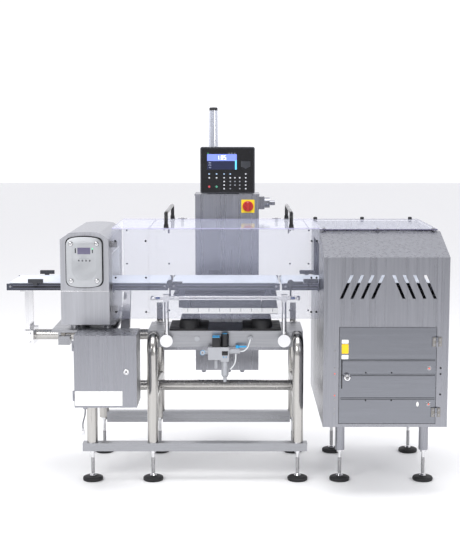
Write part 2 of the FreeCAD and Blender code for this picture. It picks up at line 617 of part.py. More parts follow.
def make_head():
    """The detector head: a hollow case round the belt, its liner, search coils and front panel."""
    case = extrude("case_outer", "y", head_outline(), "head_depth", "head_left", "head_front", "head_bottom")
    hollow = extrude("case_hollow", "y", head_outline("head_wall"), "head_depth - 2 * head_wall",
                     "head_left", "head_front + head_wall", "head_bottom")
    duct = block("case_duct", ("head_left", "head_right"),
                 ("-aperture_width / 2 - head_wall", "aperture_width / 2 + head_wall"),
                 ("aperture_bottom - head_wall", "aperture_top + head_wall"))
    opening = block("case_opening", ("head_left - 1", "head_right + 1"),
                    ("-aperture_width / 2", "aperture_width / 2"), ("aperture_bottom", "aperture_top"))
    cover = cut("front_cover", extrude("front_cover_full", "y", head_outline(), "head_cover_thickness",
                                       "head_left", "cover_front", "head_bottom"),
                block("front_cover_trim", ("head_left - 1", "head_right + 1"), ("cover_front - 1", "head_front + 1"),
                      ("head_bottom - 1", "head_seam")))
    node("head_case", fuse("head_case_closed", cut("head_shell", case, cut("head_void", hollow, duct), opening),
                           cover))

    liner = block("liner_outer", ("head_left", "head_right"), ("-aperture_width / 2", "aperture_width / 2"),
                  ("aperture_bottom", "aperture_top"))
    sleeve = block("liner_inner", ("head_left", "head_right"),
                   ("-aperture_width / 2 + liner_thickness", "aperture_width / 2 - liner_thickness"),
                   ("aperture_bottom + liner_thickness", "aperture_top - liner_thickness"))
    node("aperture_liner", cut("aperture_liner_sleeve", liner, sleeve))

    coils = []
    for i in (-1, 0, 1):
        middle = f"head_centre + ({i}) * coil_pitch"
        span = (f"{middle} - coil_width / 2", f"{middle} + coil_width / 2")
        inner_y, inner_low, inner_high = ("aperture_width / 2 + head_wall", "aperture_bottom - head_wall",
                                          "aperture_top + head_wall")
        coils.append(cut(f"coil_{i + 2}",
                         block(f"coil_outer_{i + 2}", span, (f"-({inner_y} + coil_thickness)",
                                                            f"{inner_y} + coil_thickness"),
                               (f"{inner_low} - coil_thickness", f"{inner_high} + coil_thickness")),
                         block(f"coil_inner_{i + 2}", span, (f"-({inner_y})", inner_y),
                               (inner_low, inner_high))))
    node("search_coils", *coils)

    panel = extrude("panel_plate", "y", bowed_outline(), "panel_thickness", "panel_left", "panel_front",
                    "panel_side_bottom")
    round_edges(panel, "y", "panel_corner", at_corner(SIZES["detector head"]["panel_width"]))
    notch = 11
    low, high = "6", "panel_side_height - 8"
    left, right = "25", "panel_width - 32"
    pocket(panel, "y", [(f"{left} + {notch}", low), (f"{right} - {notch}", low), (right, f"{low} + {notch}"),
                        (right, f"{high} - {notch}"), (f"{right} - {notch}", high), (f"{left} + {notch}", high),
                        (left, f"{high} - {notch}"), (left, f"{low} + {notch}")], "panel_recess")
    screws = [turn(f"panel_screw_{i}", [(0, 0), ("screw_radius", 0), ("screw_radius * 0.9", "screw_height * 0.6"),
                                        ("screw_radius * 0.4", "screw_height"), (0, "screw_height")], "-y",
                   f"panel_left + {x}", "panel_front", f"panel_side_bottom + {z}")
              for i, (x, z) in enumerate(((17, 5), ("panel_width - 17", 5), (17, "panel_side_height - 11"),
                                          ("panel_width - 17", "panel_side_height - 11")), 1)]
    window = block("display_window", ("panel_left + 48", "panel_left + 112"),
                   ("panel_front + panel_recess - 2", "panel_front + panel_recess"),
                   ("panel_side_bottom + 137", "panel_side_bottom + 171"))
    node("head_panel", panel, *screws, window)

    seal = extrude("seal_plate", "y", bowed_outline("gasket_border"), "gasket_thickness", "panel_left",
                   "panel_back", "panel_side_bottom")
    round_edges(seal, "y", "panel_corner + gasket_border", at_corner(SIZES["detector head"]["panel_width"]))
    node("panel_gasket", seal)


def make_head_mount():
    """The head stands on four rubber dampers between two plates, clamped to the spine tube."""
    deck = ("head_left + mount_overhang", "head_right + mount_overhang")
    top = block("mount_top", deck, ("-head_depth * 0.4", "head_depth * 0.4"), ("damper_top", "head_bottom"))
    low = block("mount_low", (f"lever_x - saddle_length / 2", deck[1]), ("-head_depth * 0.4", "head_depth * 0.4"),
                ("saddle_top", "saddle_top + mount_plate"))
    saddles = []
    for i, x in enumerate(("lever_x", "head_right - saddle_length / 2")):
        half = block(f"saddle_{i}", (f"{x} - saddle_length / 2", f"{x} + saddle_length / 2"),
                     ("-saddle_half", "saddle_half"), ("spine_height - saddle_half", "saddle_top"))
        saddles.append(cut(f"saddle_bored_{i}", half,
                           rod(f"saddle_bore_{i}", "x", (0, "spine_height"),
                               (f"{x} - saddle_length / 2 - 1", f"{x} + saddle_length / 2 + 1"), "tube_radius"),
                           block(f"saddle_split_{i}", (f"{x} - saddle_length", f"{x} + saddle_length"),
                                 ("-saddle_half - 1", "0"), ("spine_height - 2", "spine_height + 2"))))
    dampers = [rod(f"damper_{i}", "z", (x, y), ("saddle_top + mount_plate", "damper_top"), "damper_radius")
               for i, (x, y) in enumerate((x, y) for x in ("head_left + 50", "head_right - 30")
                                          for y in ("-head_depth * 0.32", "head_depth * 0.32"))]
    node("head_mount", low, *saddles, top, *dampers)

    boss = turn("lever_boss", [(0, 0), (13, 0), (13, 18), (9, 22), (0, 22)], "-y", "lever_x",
                "-saddle_half - running_gap", "spine_height + 14")
    arm = rod("lever_arm", "x", (f"-saddle_half - running_gap - 11", "spine_height + 14"),
              ("lever_x", "lever_x + lever_reach"), 6)
    knob = turn("lever_knob", [(0, 0), (8, 0), (12, 8), (12, 20), (7, 26), (0, 26)], "x", "lever_x + lever_reach",
                "-saddle_half - running_gap - 11", "spine_height + 14")
    node("clamp_lever", fuse("clamp_lever_joined", boss, arm, knob))


def make_infeed_support():
    """Flat struts on an end clamp and a gusset on the spine carry the infeed conveyor."""
    shell = block("clamp_block", ("clamp_left", "clamp_left + clamp_length"),
                  ("-clamp_depth / 2", "clamp_depth / 2"),
                  ("spine_height - clamp_height / 2 - 8", "spine_height + clamp_height / 2"))
    bore = rod("clamp_bore", "x", (0, "spine_height"), ("spine_left", "clamp_left + clamp_length + 1"),
               "tube_radius")
    trough = block("clamp_trough", ("clamp_left + 6", "clamp_left + clamp_length + 1"),
                   ("-clamp_depth / 2 + 6", "clamp_depth / 2 - 6"),
                   ("spine_height + tube_radius + 3", "spine_height + clamp_height / 2 + 1"))
    struts = [block(f"strut_{i}", ("clamp_left + 8", "clamp_left + 8 + strut_width"),
                    (f"({side}) * strut_spread / 2 - strut_thickness / 2",
                     f"({side}) * strut_spread / 2 + strut_thickness / 2"),
                    ("spine_height + tube_radius + 3", "rail_bottom - 6"))
              for i, side in enumerate((-1, 1))]
    bar = block("strut_bar", ("clamp_left + 4", "clamp_left + 12 + strut_width"), ("-rail_outer", "rail_outer"),
                ("rail_bottom - 6", "rail_bottom"))
    bolts = [turn(f"clamp_bolt_{i}", [(0, 0), (5, 0), (5, 3), (3, 4), (0, 4)], "-y", "clamp_left + 31",
                  "-clamp_depth / 2", f"spine_height + {height}") for i, height in enumerate((16, -26))]
    gusset_foot = "spine_height + tube_radius"
    gussets = [extrude(f"gusset_{i}", "y", [(0, 0), (44, 0), (52, f"rail_bottom - ({gusset_foot}) - 6"),
                                            (22, f"rail_bottom - ({gusset_foot}) - 6")], 6,
                       "head_right + mount_overhang + 2", f"({side}) * 20 - 3", gusset_foot)
               for i, side in enumerate((-1, 1))]
    bar_right = block("gusset_bar", ("head_right + mount_overhang + 24", "head_right + mount_overhang + 54"),
                      ("-rail_outer", "rail_outer"), ("rail_bottom - 6", "rail_bottom"))
    saddle = cut("gusset_saddle", block("gusset_saddle_block", ("head_right + mount_overhang + 2",
                                                               "head_right + mount_overhang + 46"),
                                        ("-tube_radius - 8", "tube_radius + 8"),
                                        ("spine_height", "spine_height + tube_radius + 6")),
                 rod("gusset_saddle_bore", "x", (0, "spine_height"), ("head_right", "head_right + 90"),
                     "tube_radius"))
    node("infeed_support", cut("clamp_body", shell, bore, trough), *struts, bar, *bolts, *gussets, bar_right,
         saddle)


TURNS["-y"] = Rotation(Vector(1, 0, 0), 90)
make_head()
make_head_mount()
make_infeed_support()


def knuckle(name, axis, across, span):
    """One hinge barrel piece with a running bore for its pin."""
    return cut(name, rod(f"{name}_barrel", axis, across, span, "knuckle_radius"),
               rod(f"{name}_bore", axis, across, span, "pin_radius + running_gap"))


def make_guards():
    """Clear sheets round the weigh belt; the middle of the top and front lifts as one lid."""
    rear_top = "guard_top - guard_sheet - lid_clearance"
    rear = block("rear_sheet", ("guard_left", "guard_right"), ("guard_back - guard_sheet", "guard_back"),
                 ("guard_rear_bottom", rear_top))
    fixed = []
    for side, span in (("left", ("guard_left", "lid_left - lid_clearance")),
                       ("right", ("lid_right + lid_clearance", "guard_right"))):
        fixed.append(fuse(f"{side}_sheets",
                          block(f"{side}_top", span, ("guard_front", "guard_back"),
                                ("guard_top - guard_sheet", "guard_top")),
                          block(f"{side}_back_lip", span, ("guard_back - guard_sheet", "guard_back"),
                                (rear_top, "guard_top")),
                          block(f"{side}_front", span, ("guard_front", "guard_front + guard_sheet"),
                                ("guard_front_bottom", "guard_top"))))
    node("guard_tunnel", fuse("guard_tunnel_joined", rear, *fixed))

    lid_span = ("lid_left", "lid_right")
    node("guard_lid", fuse("guard_lid_joined",
         block("lid_top", lid_span, ("guard_front", "guard_back - lid_clearance"),
               ("guard_top - guard_sheet", "guard_top")),
         block("lid_front", lid_span, ("guard_front", "guard_front + guard_sheet"),
               ("guard_front_bottom", "guard_top"))))

    moving, still = [], []
    axis = ("lid_hinge_y", "lid_hinge_z")
    for side, middle in (("left", "lid_left + lid_hinge_inset"), ("right", "lid_right - lid_hinge_inset")):
        third = "hinge_length / 6"
        ends = [(f"{middle} - 3 * {third}", f"{middle} - {third} - 0.5"),
                (f"{middle} + {third} + 0.5", f"{middle} + 3 * {third}")]
        pin_hole = rod(f"{side}_leaf_bore", "x", axis, (ends[0][0], ends[1][1]), "pin_radius + running_gap")
        leaf = [block(f"{side}_leaf_{i}", span, ("guard_back - 34", "lid_hinge_y"), ("guard_top", "guard_top + 3"))
                for i, span in enumerate(ends)]
        barrels = [rod(f"{side}_barrel_{i}", "x", axis, span, "knuckle_radius") for i, span in enumerate(ends)]
        tie = block(f"{side}_leaf_tie", (ends[0][0], ends[1][1]), ("guard_back - 34", "guard_back - 12"),
                    ("guard_top", "guard_top + 3"))
        trim = block(f"{side}_leaf_trim", (ends[0][0], ends[1][1]), ("guard_back - lid_clearance", "lid_hinge_y"),
                     ("guard_top - 8", "guard_top"))
        moving.append(cut(f"{side}_lid_leaf", fuse(f"{side}_lid_leaf_whole", *leaf, *barrels, tie), pin_hole, trim))
        centre = (f"{middle} - {third}", f"{middle} + {third}")
        still.append(fuse(f"{side}_fixed_leaf",
                          block(f"{side}_back_leaf", centre, ("guard_back", "guard_back + 3"),
                                ("guard_top - 40", "guard_top - 3")),
                          rod(f"{side}_fixed_barrel", "x", axis, centre, "knuckle_radius"),
                          rod(f"{side}_pin", "x", axis, (ends[0][0], ends[1][1]), "pin_radius")))
    for side, x in (("left", "lid_left + handle_inset"), ("right", "lid_right - handle_inset")):
        posts = [rod(f"{side}_handle_post_{i}", "z", (x, y), ("guard_top", "guard_top + handle_height - 10"),
                     "handle_grip_radius * 0.8") for i, y in enumerate(("guard_front + 20",
                                                                         "guard_front + handle_span"))]
        grip = rod(f"{side}_handle_grip", "y", (x, "guard_top + handle_height - handle_grip_radius"),
                   ("guard_front + 8", "guard_front + handle_span + 12"), "handle_grip_radius")
        moving.append(fuse(f"{side}_handle", *posts, grip))
    node("lid_handles", *moving)

    for spot in ("left_portal", "right_portal"):
        x = (f"{spot} - 15", f"{spot} + 15")
        arm = block(f"{spot}_guard_arm", x, ("leg_back", "guard_back - guard_sheet"),
                    ("portal_axis - bend_radius - 40", "portal_axis - bend_radius - 10"))
        upright = block(f"{spot}_guard_post", x, ("guard_back - guard_sheet - 8", "guard_back - guard_sheet"),
                        ("portal_axis - bend_radius - 40", "guard_rear_bottom + 80"))
        leg = rod(f"{spot}_guard_cope", "z", (spot, "leg_back"), ("portal_axis - bend_radius - 60",
                                                                 "portal_axis - bend_radius"), "tube_radius")
        still.append(cut(f"{spot}_guard_bracket", fuse(f"{spot}_guard_bracket_whole", arm, upright), leg))
    for i, z in enumerate(("guard_front_bottom + 30", "guard_top - 90")):
        still.append(block(f"head_tab_{i}", ("head_right", "guard_left + 24"),
                           ("guard_front + guard_sheet", "guard_front + guard_sheet + 3"), (z, f"{z} + 30")))
    node("guard_brackets", *still)


def make_control_box():
    """A wall box on the infeed leg: shell, mounting plate with supply, lidded front and lock."""
    outer = block("box_outer", ("box_left", "box_right"), ("box_door_back + seal_gap", "box_back"),
                  ("box_bottom", "box_top"))
    inner = block("box_inner", ("box_left + box_wall", "box_right - box_wall"),
                  ("box_door_back", "box_back - box_wall"), ("box_bottom + box_wall", "box_top - box_wall"))
    hole = rod("box_gland_hole", "z", ("gland_x", "gland_y"), ("box_bottom - 1", "box_bottom + 5"),
               "gland_radius * 0.7")
    gland = turn("box_gland", [(4, 0), ("gland_radius * 0.8", 0), ("gland_radius", 6),
                               ("gland_radius", "gland_length"), ("gland_radius * 0.7", "gland_length"),
                               ("gland_radius * 0.7", "gland_length + 10"), (4, "gland_length + 10")],
                 "z", "gland_x", "gland_y", "box_bottom - gland_length")
    plate = block("mounting_plate", ("box_left + 20", "box_right - 20"), ("box_back - box_wall - 12",
                                                                         "box_back - box_wall - 10"),
                  ("box_bottom + 20", "box_top - 20"))
    studs = [block(f"plate_stud_{i}", (x, f"{x} + 10"), ("box_back - box_wall - 10", "box_back - box_wall"),
                   (z, f"{z} + 10")) for i, (x, z) in enumerate((x, z) for x in ("box_left + 30", "box_right - 40")
                                                                for z in ("box_bottom + 30", "box_top - 40"))]
    supply = block("power_supply", ("box_left + 40", "box_left + 150"), ("box_back - box_wall - 102",
                                                                         "box_back - box_wall - 12"),
                   ("box_bottom + 160", "box_bottom + 290"))
    standoffs = [cut(f"box_standoff_{i}",
                     block(f"box_standoff_block_{i}", ("infeed_portal - 20", "infeed_portal + 20"),
                           ("box_back", "leg_front"), (z, f"{z} + 30")),
                     rod(f"box_standoff_cope_{i}", "z", ("infeed_portal", "leg_front"),
                         (f"{z} - 1", f"{z} + 31"), "tube_radius"))
                 for i, z in enumerate(("box_bottom + 30", "box_bottom + 95"))]
    hinge_spots = [f"box_{end} {sign} 50" for end, sign in (("bottom", "+"), ("top", "-"))]
    still, moving = [], []
    third = "hinge_length / 6"
    for i, z in enumerate(hinge_spots):
        still.append(fuse(f"box_fixed_hinge_{i}",
                          block(f"box_fixed_leaf_{i}", ("box_hinge_x", "box_left"), ("box_hinge_y", "box_hinge_y + 5"),
                                (f"{z} - {third}", f"{z} + {third}")),
                          rod(f"box_fixed_barrel_{i}", "z", ("box_hinge_x", "box_hinge_y"),
                              (f"{z} - {third}", f"{z} + {third}"), "knuckle_radius - 1"),
                          rod(f"box_pin_{i}", "z", ("box_hinge_x", "box_hinge_y"),
                              (f"{z} - 3 * {third}", f"{z} + 3 * {third}"), "pin_radius")))
        for end, (low, high) in (("low", (f"{z} - 3 * {third}", f"{z} - {third} - 0.5")),
                                 ("high", (f"{z} + {third} + 0.5", f"{z} + 3 * {third}"))):
            name = f"box_door_knuckle_{i}_{end}"
            solid = fuse(f"{name}_solid",
                         rod(f"{name}_barrel", "z", ("box_hinge_x", "box_hinge_y"), (low, high),
                             "knuckle_radius - 1"),
                         block(f"{name}_leaf", ("box_hinge_x", "box_left"), ("box_hinge_y - 7", "box_hinge_y - 4"),
                               (low, high)))
            moving.append(cut(name, solid, rod(f"{name}_bore", "z", ("box_hinge_x", "box_hinge_y"), (low, high),
                                               "pin_radius + running_gap")))
    shell = cut("box_shell", outer, inner, hole)
    node("control_box", fuse("control_box_body", shell, *standoffs), *still, gland, plate, *studs, supply)

    pan = cut("door_pan", block("door_outer", ("box_left", "box_right"), ("box_front", "box_door_back"),
                                ("box_bottom", "box_top")),
              block("door_inner", ("box_left + box_wall", "box_right - box_wall"),
                    ("box_front + box_wall", "box_door_back + 1"), ("box_bottom + box_wall", "box_top - box_wall")),
              rod("door_lock_hole", "y", ("box_right - box_lock_inset", "box_bottom + box_height / 2"),
                  ("box_front - 1", "box_front + box_wall + 1"), "box_lock_radius * 0.7 + running_gap"))
    node("control_box_door", fuse("control_box_door_hinged", pan, *moving))
    node("box_lock", turn("box_lock_turned", [
        (0, "-box_lock_reach"), ("box_lock_radius * 0.9", "-box_lock_reach"),
        ("box_lock_radius", "-box_lock_reach + 2"), ("box_lock_radius", "-running_gap"),
        ("box_lock_radius * 0.7", "-running_gap"), ("box_lock_radius * 0.7", "box_wall + 6"),
        (0, "box_wall + 6")], "y", "box_right - box_lock_inset", "box_front", "box_bottom + box_height / 2"))


make_guards()
make_control_box()


def slot_row(body, first_x, lean):
    """Cut four leaning vent slots; lean is how far each foot stands from its top."""
    low = "slot_bottom - cabinet_bottom"
    high = f"{low} + slot_height"
    pocket(body, "y", [(f"{first_x} + {lean}", low), (f"{first_x} + {lean} + slot_width", low),
                       (f"{first_x} + slot_width", high), (first_x, high)], "cabinet_wall")
    first = body.Tip
    row = body.newObject("PartDesign::LinearPattern", f"slot_row_{len(body.Group)}")
    row.Originals = [first]
    row.Direction = (first.Profile[0], ["H_Axis"])
    row.Occurrences = 4
    bind(row, "Length", "3 * slot_pitch")
    body.Tip = row


def make_cabinet_housing(hinges):
    """Bent sheet walls: slotted front with the door opening, sides with the belt tunnel, floor."""
    rise, shoulder = "cabinet_top - cabinet_bottom", "cabinet_front_top - cabinet_bottom"
    lintel = "door_top - cabinet_bottom"
    front = extrude("cabinet_front_wall", "y", [(0, lintel), ("cabinet_width", lintel), ("cabinet_width", shoulder),
                                                (0, shoulder)], "cabinet_wall", "cabinet_left", "cabinet_front",
                    "cabinet_bottom")
    slot_row(front, "cabinet_width / 2 - slot_gap / 2 - 3 * slot_pitch", "-slot_lean")
    slot_row(front, "cabinet_width / 2 + slot_gap / 2", "slot_lean")

    front_span = ("cabinet_front", "cabinet_front + cabinet_wall")
    door_span = ("cabinet_left + door_side_margin", "cabinet_left + door_side_margin + door_width")
    jambs = [block("door_jamb_left", ("cabinet_left", door_span[0]), front_span, ("cabinet_bottom", "door_top")),
             block("door_jamb_right", (door_span[1], "cabinet_right"), front_span,
                   ("cabinet_bottom", "door_top"))]
    sill = block("door_sill", door_span, front_span, ("cabinet_bottom", "cabinet_bottom + door_foot"))

    sides = []
    tunnel_low, tunnel_high = "tunnel_bottom - cabinet_bottom", "tunnel_bottom + tunnel_height - cabinet_bottom"
    near, far = "-tunnel_width / 2 - cabinet_front", "tunnel_width / 2 - cabinet_front"
    for side, x in (("left", "cabinet_left"), ("right", "cabinet_inner_right")):
        wall = extrude(f"cabinet_{side}_wall", "x", [(0, 0), ("cabinet_depth", 0), ("cabinet_depth", rise),
                                                     ("cabinet_slope_depth", rise), (0, shoulder)],
                       "cabinet_wall", x, "cabinet_front", "cabinet_bottom")
        pocket(wall, "x", [(near, tunnel_low), (far, tunnel_low), (far, tunnel_high), (near, tunnel_high)],
               "cabinet_wall")
        sides.append(wall)
    slope = extrude("cabinet_slope", "x", [(0, f"{shoulder} - cabinet_wall"), ("cabinet_slope_depth",
                                                                              f"{rise} - cabinet_wall"),
                                           ("cabinet_slope_depth", rise), (0, shoulder)], "cabinet_width",
                    "cabinet_left", "cabinet_front", "cabinet_bottom")
    x_span = ("cabinet_left", "cabinet_right")
    floor = block("cabinet_floor_sheet", x_span, ("cabinet_front", "cabinet_back"),
                  ("cabinet_bottom", "cabinet_floor"))
    back = block("cabinet_back_wall", x_span, ("cabinet_inner_back", "cabinet_back"),
                 ("cabinet_bottom", "cabinet_top"))
    divider = block("cabinet_divider", x_span, ("divider_y", "divider_y + cabinet_wall"),
                    ("cabinet_bottom", "rail_bottom - 20"))
    flanges = [block(f"cabinet_flange_{i}", span, ("cabinet_front + cabinet_slope_depth", "cabinet_back"),
                     ("cabinet_top - cabinet_wall", "cabinet_top"))
               for i, span in enumerate((("cabinet_left", "cabinet_left + top_flange"),
                                         ("cabinet_right - top_flange", "cabinet_right")))]
    bars = [block(f"outfeed_bar_{i}", (x, f"{x} + 30"), ("divider_y", "cabinet_inner_back"),
                  ("rail_bottom - 20", "rail_bottom")) for i, x in enumerate(("cabinet_left + 90",
                                                                             "cabinet_left + 315"))]
    legs = []
    for x in ("cabinet_leg_left", "cabinet_leg_right"):
        span = ("cabinet_leg_bottom", "cabinet_bottom")
        legs.append(cut(f"{x}_stub", rod(f"{x}_outer", "z", (x, "leg_front"), span, "cabinet_leg_radius"),
                        rod(f"{x}_inner", "z", (x, "leg_front"), ("cabinet_leg_bottom + foot_plug",
                                                                  "cabinet_bottom"),
                            "cabinet_leg_radius - tube_wall"),
                        rod(f"{x}_thread", "z", (x, "leg_front"), ("cabinet_leg_bottom",
                                                                   "cabinet_leg_bottom + foot_plug"),
                            "spindle_radius")))
    spacers = [block(f"cover_spacer_{i}", (x, f"{x} + 14"), (y, f"{y} + 24"), ("cabinet_top",
                                                                              "cabinet_top + cover_lift"))
               for i, (x, y) in enumerate((x, y) for x in ("cabinet_left + 2", "cabinet_right - 30")
                                          for y in ("cabinet_front + cabinet_slope_depth + 4",
                                                    "cabinet_back - 60"))]
    left_jamb, right_jamb = [cut(f"{jamb.Name}_fitted", jamb, side) for jamb, side in zip(jambs, sides)]
    front, slope, back, floor = [cut(f"{sheet.Name}_fitted", sheet, *butted) for sheet, butted in (
        (front, sides), (slope, [*sides, front]), (back, sides),
        (floor, [*sides, left_jamb, right_jamb, sill, back]))]
    divider = cut("cabinet_divider_fitted", divider, *sides, floor)
    flanges = [cut(f"{flange.Name}_fitted", flange, *sides, slope, back) for flange in flanges]
    node("cabinet_housing", front, left_jamb, right_jamb, sill, *sides, slope, floor, back, divider, *flanges, *bars, *legs, *spacers,
         *hinges)
    node("cabinet_cover", block("cabinet_cover_sheet", ("cabinet_left", "cabinet_right - cover_short"),
                                ("cabinet_front + cabinet_slope_depth", "cabinet_back - 10"),
                                ("cabinet_top + cover_lift", "cabinet_top + cover_lift + cover_thickness")))


def make_cabinet_door():
    """The inset bin door: a folded pan on two cast hinges at its right, and its key lock."""
    left, right = "cabinet_door_left + door_clearance", "cabinet_door_right - door_clearance"
    low, high = "door_bottom + door_clearance", "door_top - door_clearance"
    pan = block("cabinet_door_outer", (left, right), ("cabinet_front", "cabinet_front + door_depth"), (low, high))
    hollow = block("cabinet_door_inner", (f"{left} + cabinet_wall", f"{right} - cabinet_wall"),
                   ("cabinet_front + cabinet_wall", "cabinet_front + door_depth + 1"),
                   (f"{low} + cabinet_wall", f"{high} - cabinet_wall"))
    lock_hole = rod("cabinet_door_lock_hole", "y", ("cabinet_door_left + lock_inset", "lock_height"),
                    ("cabinet_front - 1", "cabinet_front + cabinet_wall + 1"), "lock_radius * 0.6 + running_gap")
    hinge_line = ("cabinet_door_right", "door_hinge_y")
    moving, still = [], []
    half = "door_hinge_width / 2"
    for i, z in enumerate(("door_bottom + 54", "door_top - 66")):
        low_z, high_z = f"{z} - {half}", f"{z} + {half}"
        door_span, frame_span = (f"{z} + 0.5", high_z), (low_z, f"{z} - 0.5")
        leaf = block(f"door_leaf_{i}", (f"cabinet_door_right - {half}", "cabinet_door_right - door_clearance - 2"),
                     ("cabinet_front - 6", "cabinet_front"), (low_z, high_z))
        web = block(f"door_web_{i}", (f"cabinet_door_right - 10", "cabinet_door_right"),
                    ("door_hinge_y", "cabinet_front - 3"), door_span)
        barrel = rod(f"door_barrel_{i}", "z", hinge_line, door_span, "knuckle_radius")
        bore = rod(f"door_barrel_bore_{i}", "z", hinge_line, (low_z, high_z), "pin_radius + running_gap")
        clear = block(f"door_web_clear_{i}", (f"cabinet_door_right - 10", "cabinet_door_right + 10"),
                      ("door_hinge_y - 10", "cabinet_front - 3"), (low_z, f"{z} + 0.5"))
        moving.append(cut(f"door_hinge_leaf_{i}", fuse(f"door_hinge_leaf_{i}_whole", cut(f"door_leaf_cut_{i}",
                                                                                       leaf, clear), web, barrel),
                          bore))
        still.append(fuse(f"frame_hinge_leaf_{i}",
                          block(f"frame_leaf_{i}", ("cabinet_door_right + 3", f"cabinet_door_right + {half}"),
                                ("cabinet_front - 6", "cabinet_front"), frame_span),
                          block(f"frame_web_{i}", ("cabinet_door_right", "cabinet_door_right + 10"),
                                ("door_hinge_y", "cabinet_front - 3"), frame_span),
                          rod(f"frame_barrel_{i}", "z", hinge_line, frame_span, "knuckle_radius"),
                          rod(f"frame_pin_{i}", "z", hinge_line, (low_z, high_z), "pin_radius")))
    node("cabinet_door", fuse("cabinet_door_hinged", cut("cabinet_door_pan", pan, hollow, lock_hole), *moving))
    node("door_lock", turn("door_lock_turned", [
        (0, "-lock_reach"), (6, "-lock_reach"), (6, "-lock_reach + 8"), ("lock_radius", "-lock_reach + 14"),
        ("lock_radius", "-running_gap"), ("lock_radius * 0.6", "-running_gap"),
        ("lock_radius * 0.6", "cabinet_wall + 8"), (0, "cabinet_wall + 8")],
        "y", "cabinet_door_left + lock_inset", "cabinet_front", "lock_height"))
    return still


def make_reject():
    """The bin that stands behind the door, and the air pusher that sends a pack into it."""
    bin_x = ("cabinet_inner_left + bin_clearance", "cabinet_inner_right - bin_clearance")
    bin_y = ("cabinet_front + door_depth + 8", "divider_y - 8")
    bin_z = ("cabinet_floor", "cabinet_floor + bin_height")
    node("reject_bin", cut("reject_bin_box", block("bin_outer", bin_x, bin_y, bin_z),
                           block("bin_inner", (f"{bin_x[0]} + sheet_wall", f"{bin_x[1]} - sheet_wall"),
                                 (f"{bin_y[0]} + sheet_wall", f"{bin_y[1]} - sheet_wall"),
                                 (f"{bin_z[0]} + sheet_wall", f"{bin_z[1]} + 1"))))

    half = "cylinder_side / 2"
    head_back = "pusher_rest + 8"
    body = block("cylinder_block", (f"pusher_x - {half}", f"pusher_x + {half}"),
                 (f"{head_back} + 10", "cabinet_inner_back"), (f"pusher_z - {half}", f"pusher_z + {half}"))
    bore = rod("cylinder_bore", "y", ("pusher_x", "pusher_z"), (head_back, "cabinet_inner_back - 8"),
               "pusher_rod_radius + running_gap")
    node("pusher_cylinder", cut("cylinder_bored", body, bore))
    plate = block("pusher_plate", ("pusher_x - pusher_width / 2", "pusher_x + pusher_width / 2"),
                  ("pusher_rest", head_back), ("pusher_z - pusher_height / 2", "pusher_z + pusher_height / 2"))
    ram = rod("pusher_ram", "y", ("pusher_x", "pusher_z"), (head_back, f"{head_back} + pusher_stroke + 25"),
              "pusher_rod_radius")
    node("pusher_head", fuse("pusher_head_joined", plate, ram))


make_cabinet_housing(make_cabinet_door())
make_reject()


def size(name):
    """Read one size back from the sheet, for the shapes that a formula can't be bound to."""
    return float(sheet.get(name))


def run_pipe(name, points, radius):
    """A bent tube: straight runs joined by tangent arcs as large as the runs allow."""
    corners = [Vector(*point) for point in points]
    edges, start, tightest = [], corners[0], None
    for before, corner, after in zip(corners, corners[1:], corners[2:]):
        into, out = (corner - before), (after - corner)
        reach = 0.45 * min(into.Length, out.Length)
        bend = into.getAngle(out)
        radius_here = reach / math.tan(bend / 2)
        tightest = radius_here if tightest is None else min(tightest, radius_here)
        first = corner - into.normalize() * reach
        last = corner + out.normalize() * reach
        middle_way = (first + last) * 0.5 - corner
        hub = corner + middle_way * ((radius_here ** 2 + reach ** 2) ** 0.5 / middle_way.Length)
        middle = hub + (corner - hub).normalize() * radius_here
        edges += [Part.LineSegment(start, first).toShape(), Part.Arc(first, middle, last).toShape()]
        start = last
    edges.append(Part.LineSegment(start, corners[-1]).toShape())
    path = Part.Wire(edges)
    ring = Part.Wire(Part.makeCircle(radius, corners[0], corners[1] - corners[0]))
    shape = path.makePipeShell([ring], True, False)
    expected = math.pi * radius ** 2 * path.Length
    if abs(shape.Volume - expected) > 0.02 * expected:
        raise RuntimeError(f"{name} has the wrong volume")
    if tightest is not None:
        print(f"{name}: {path.Length:.0f} mm long, tightest bend {tightest:.0f} mm")
    pipe = doc.addObject("Part::Feature", name)
    pipe.Shape = shape
    return pipe


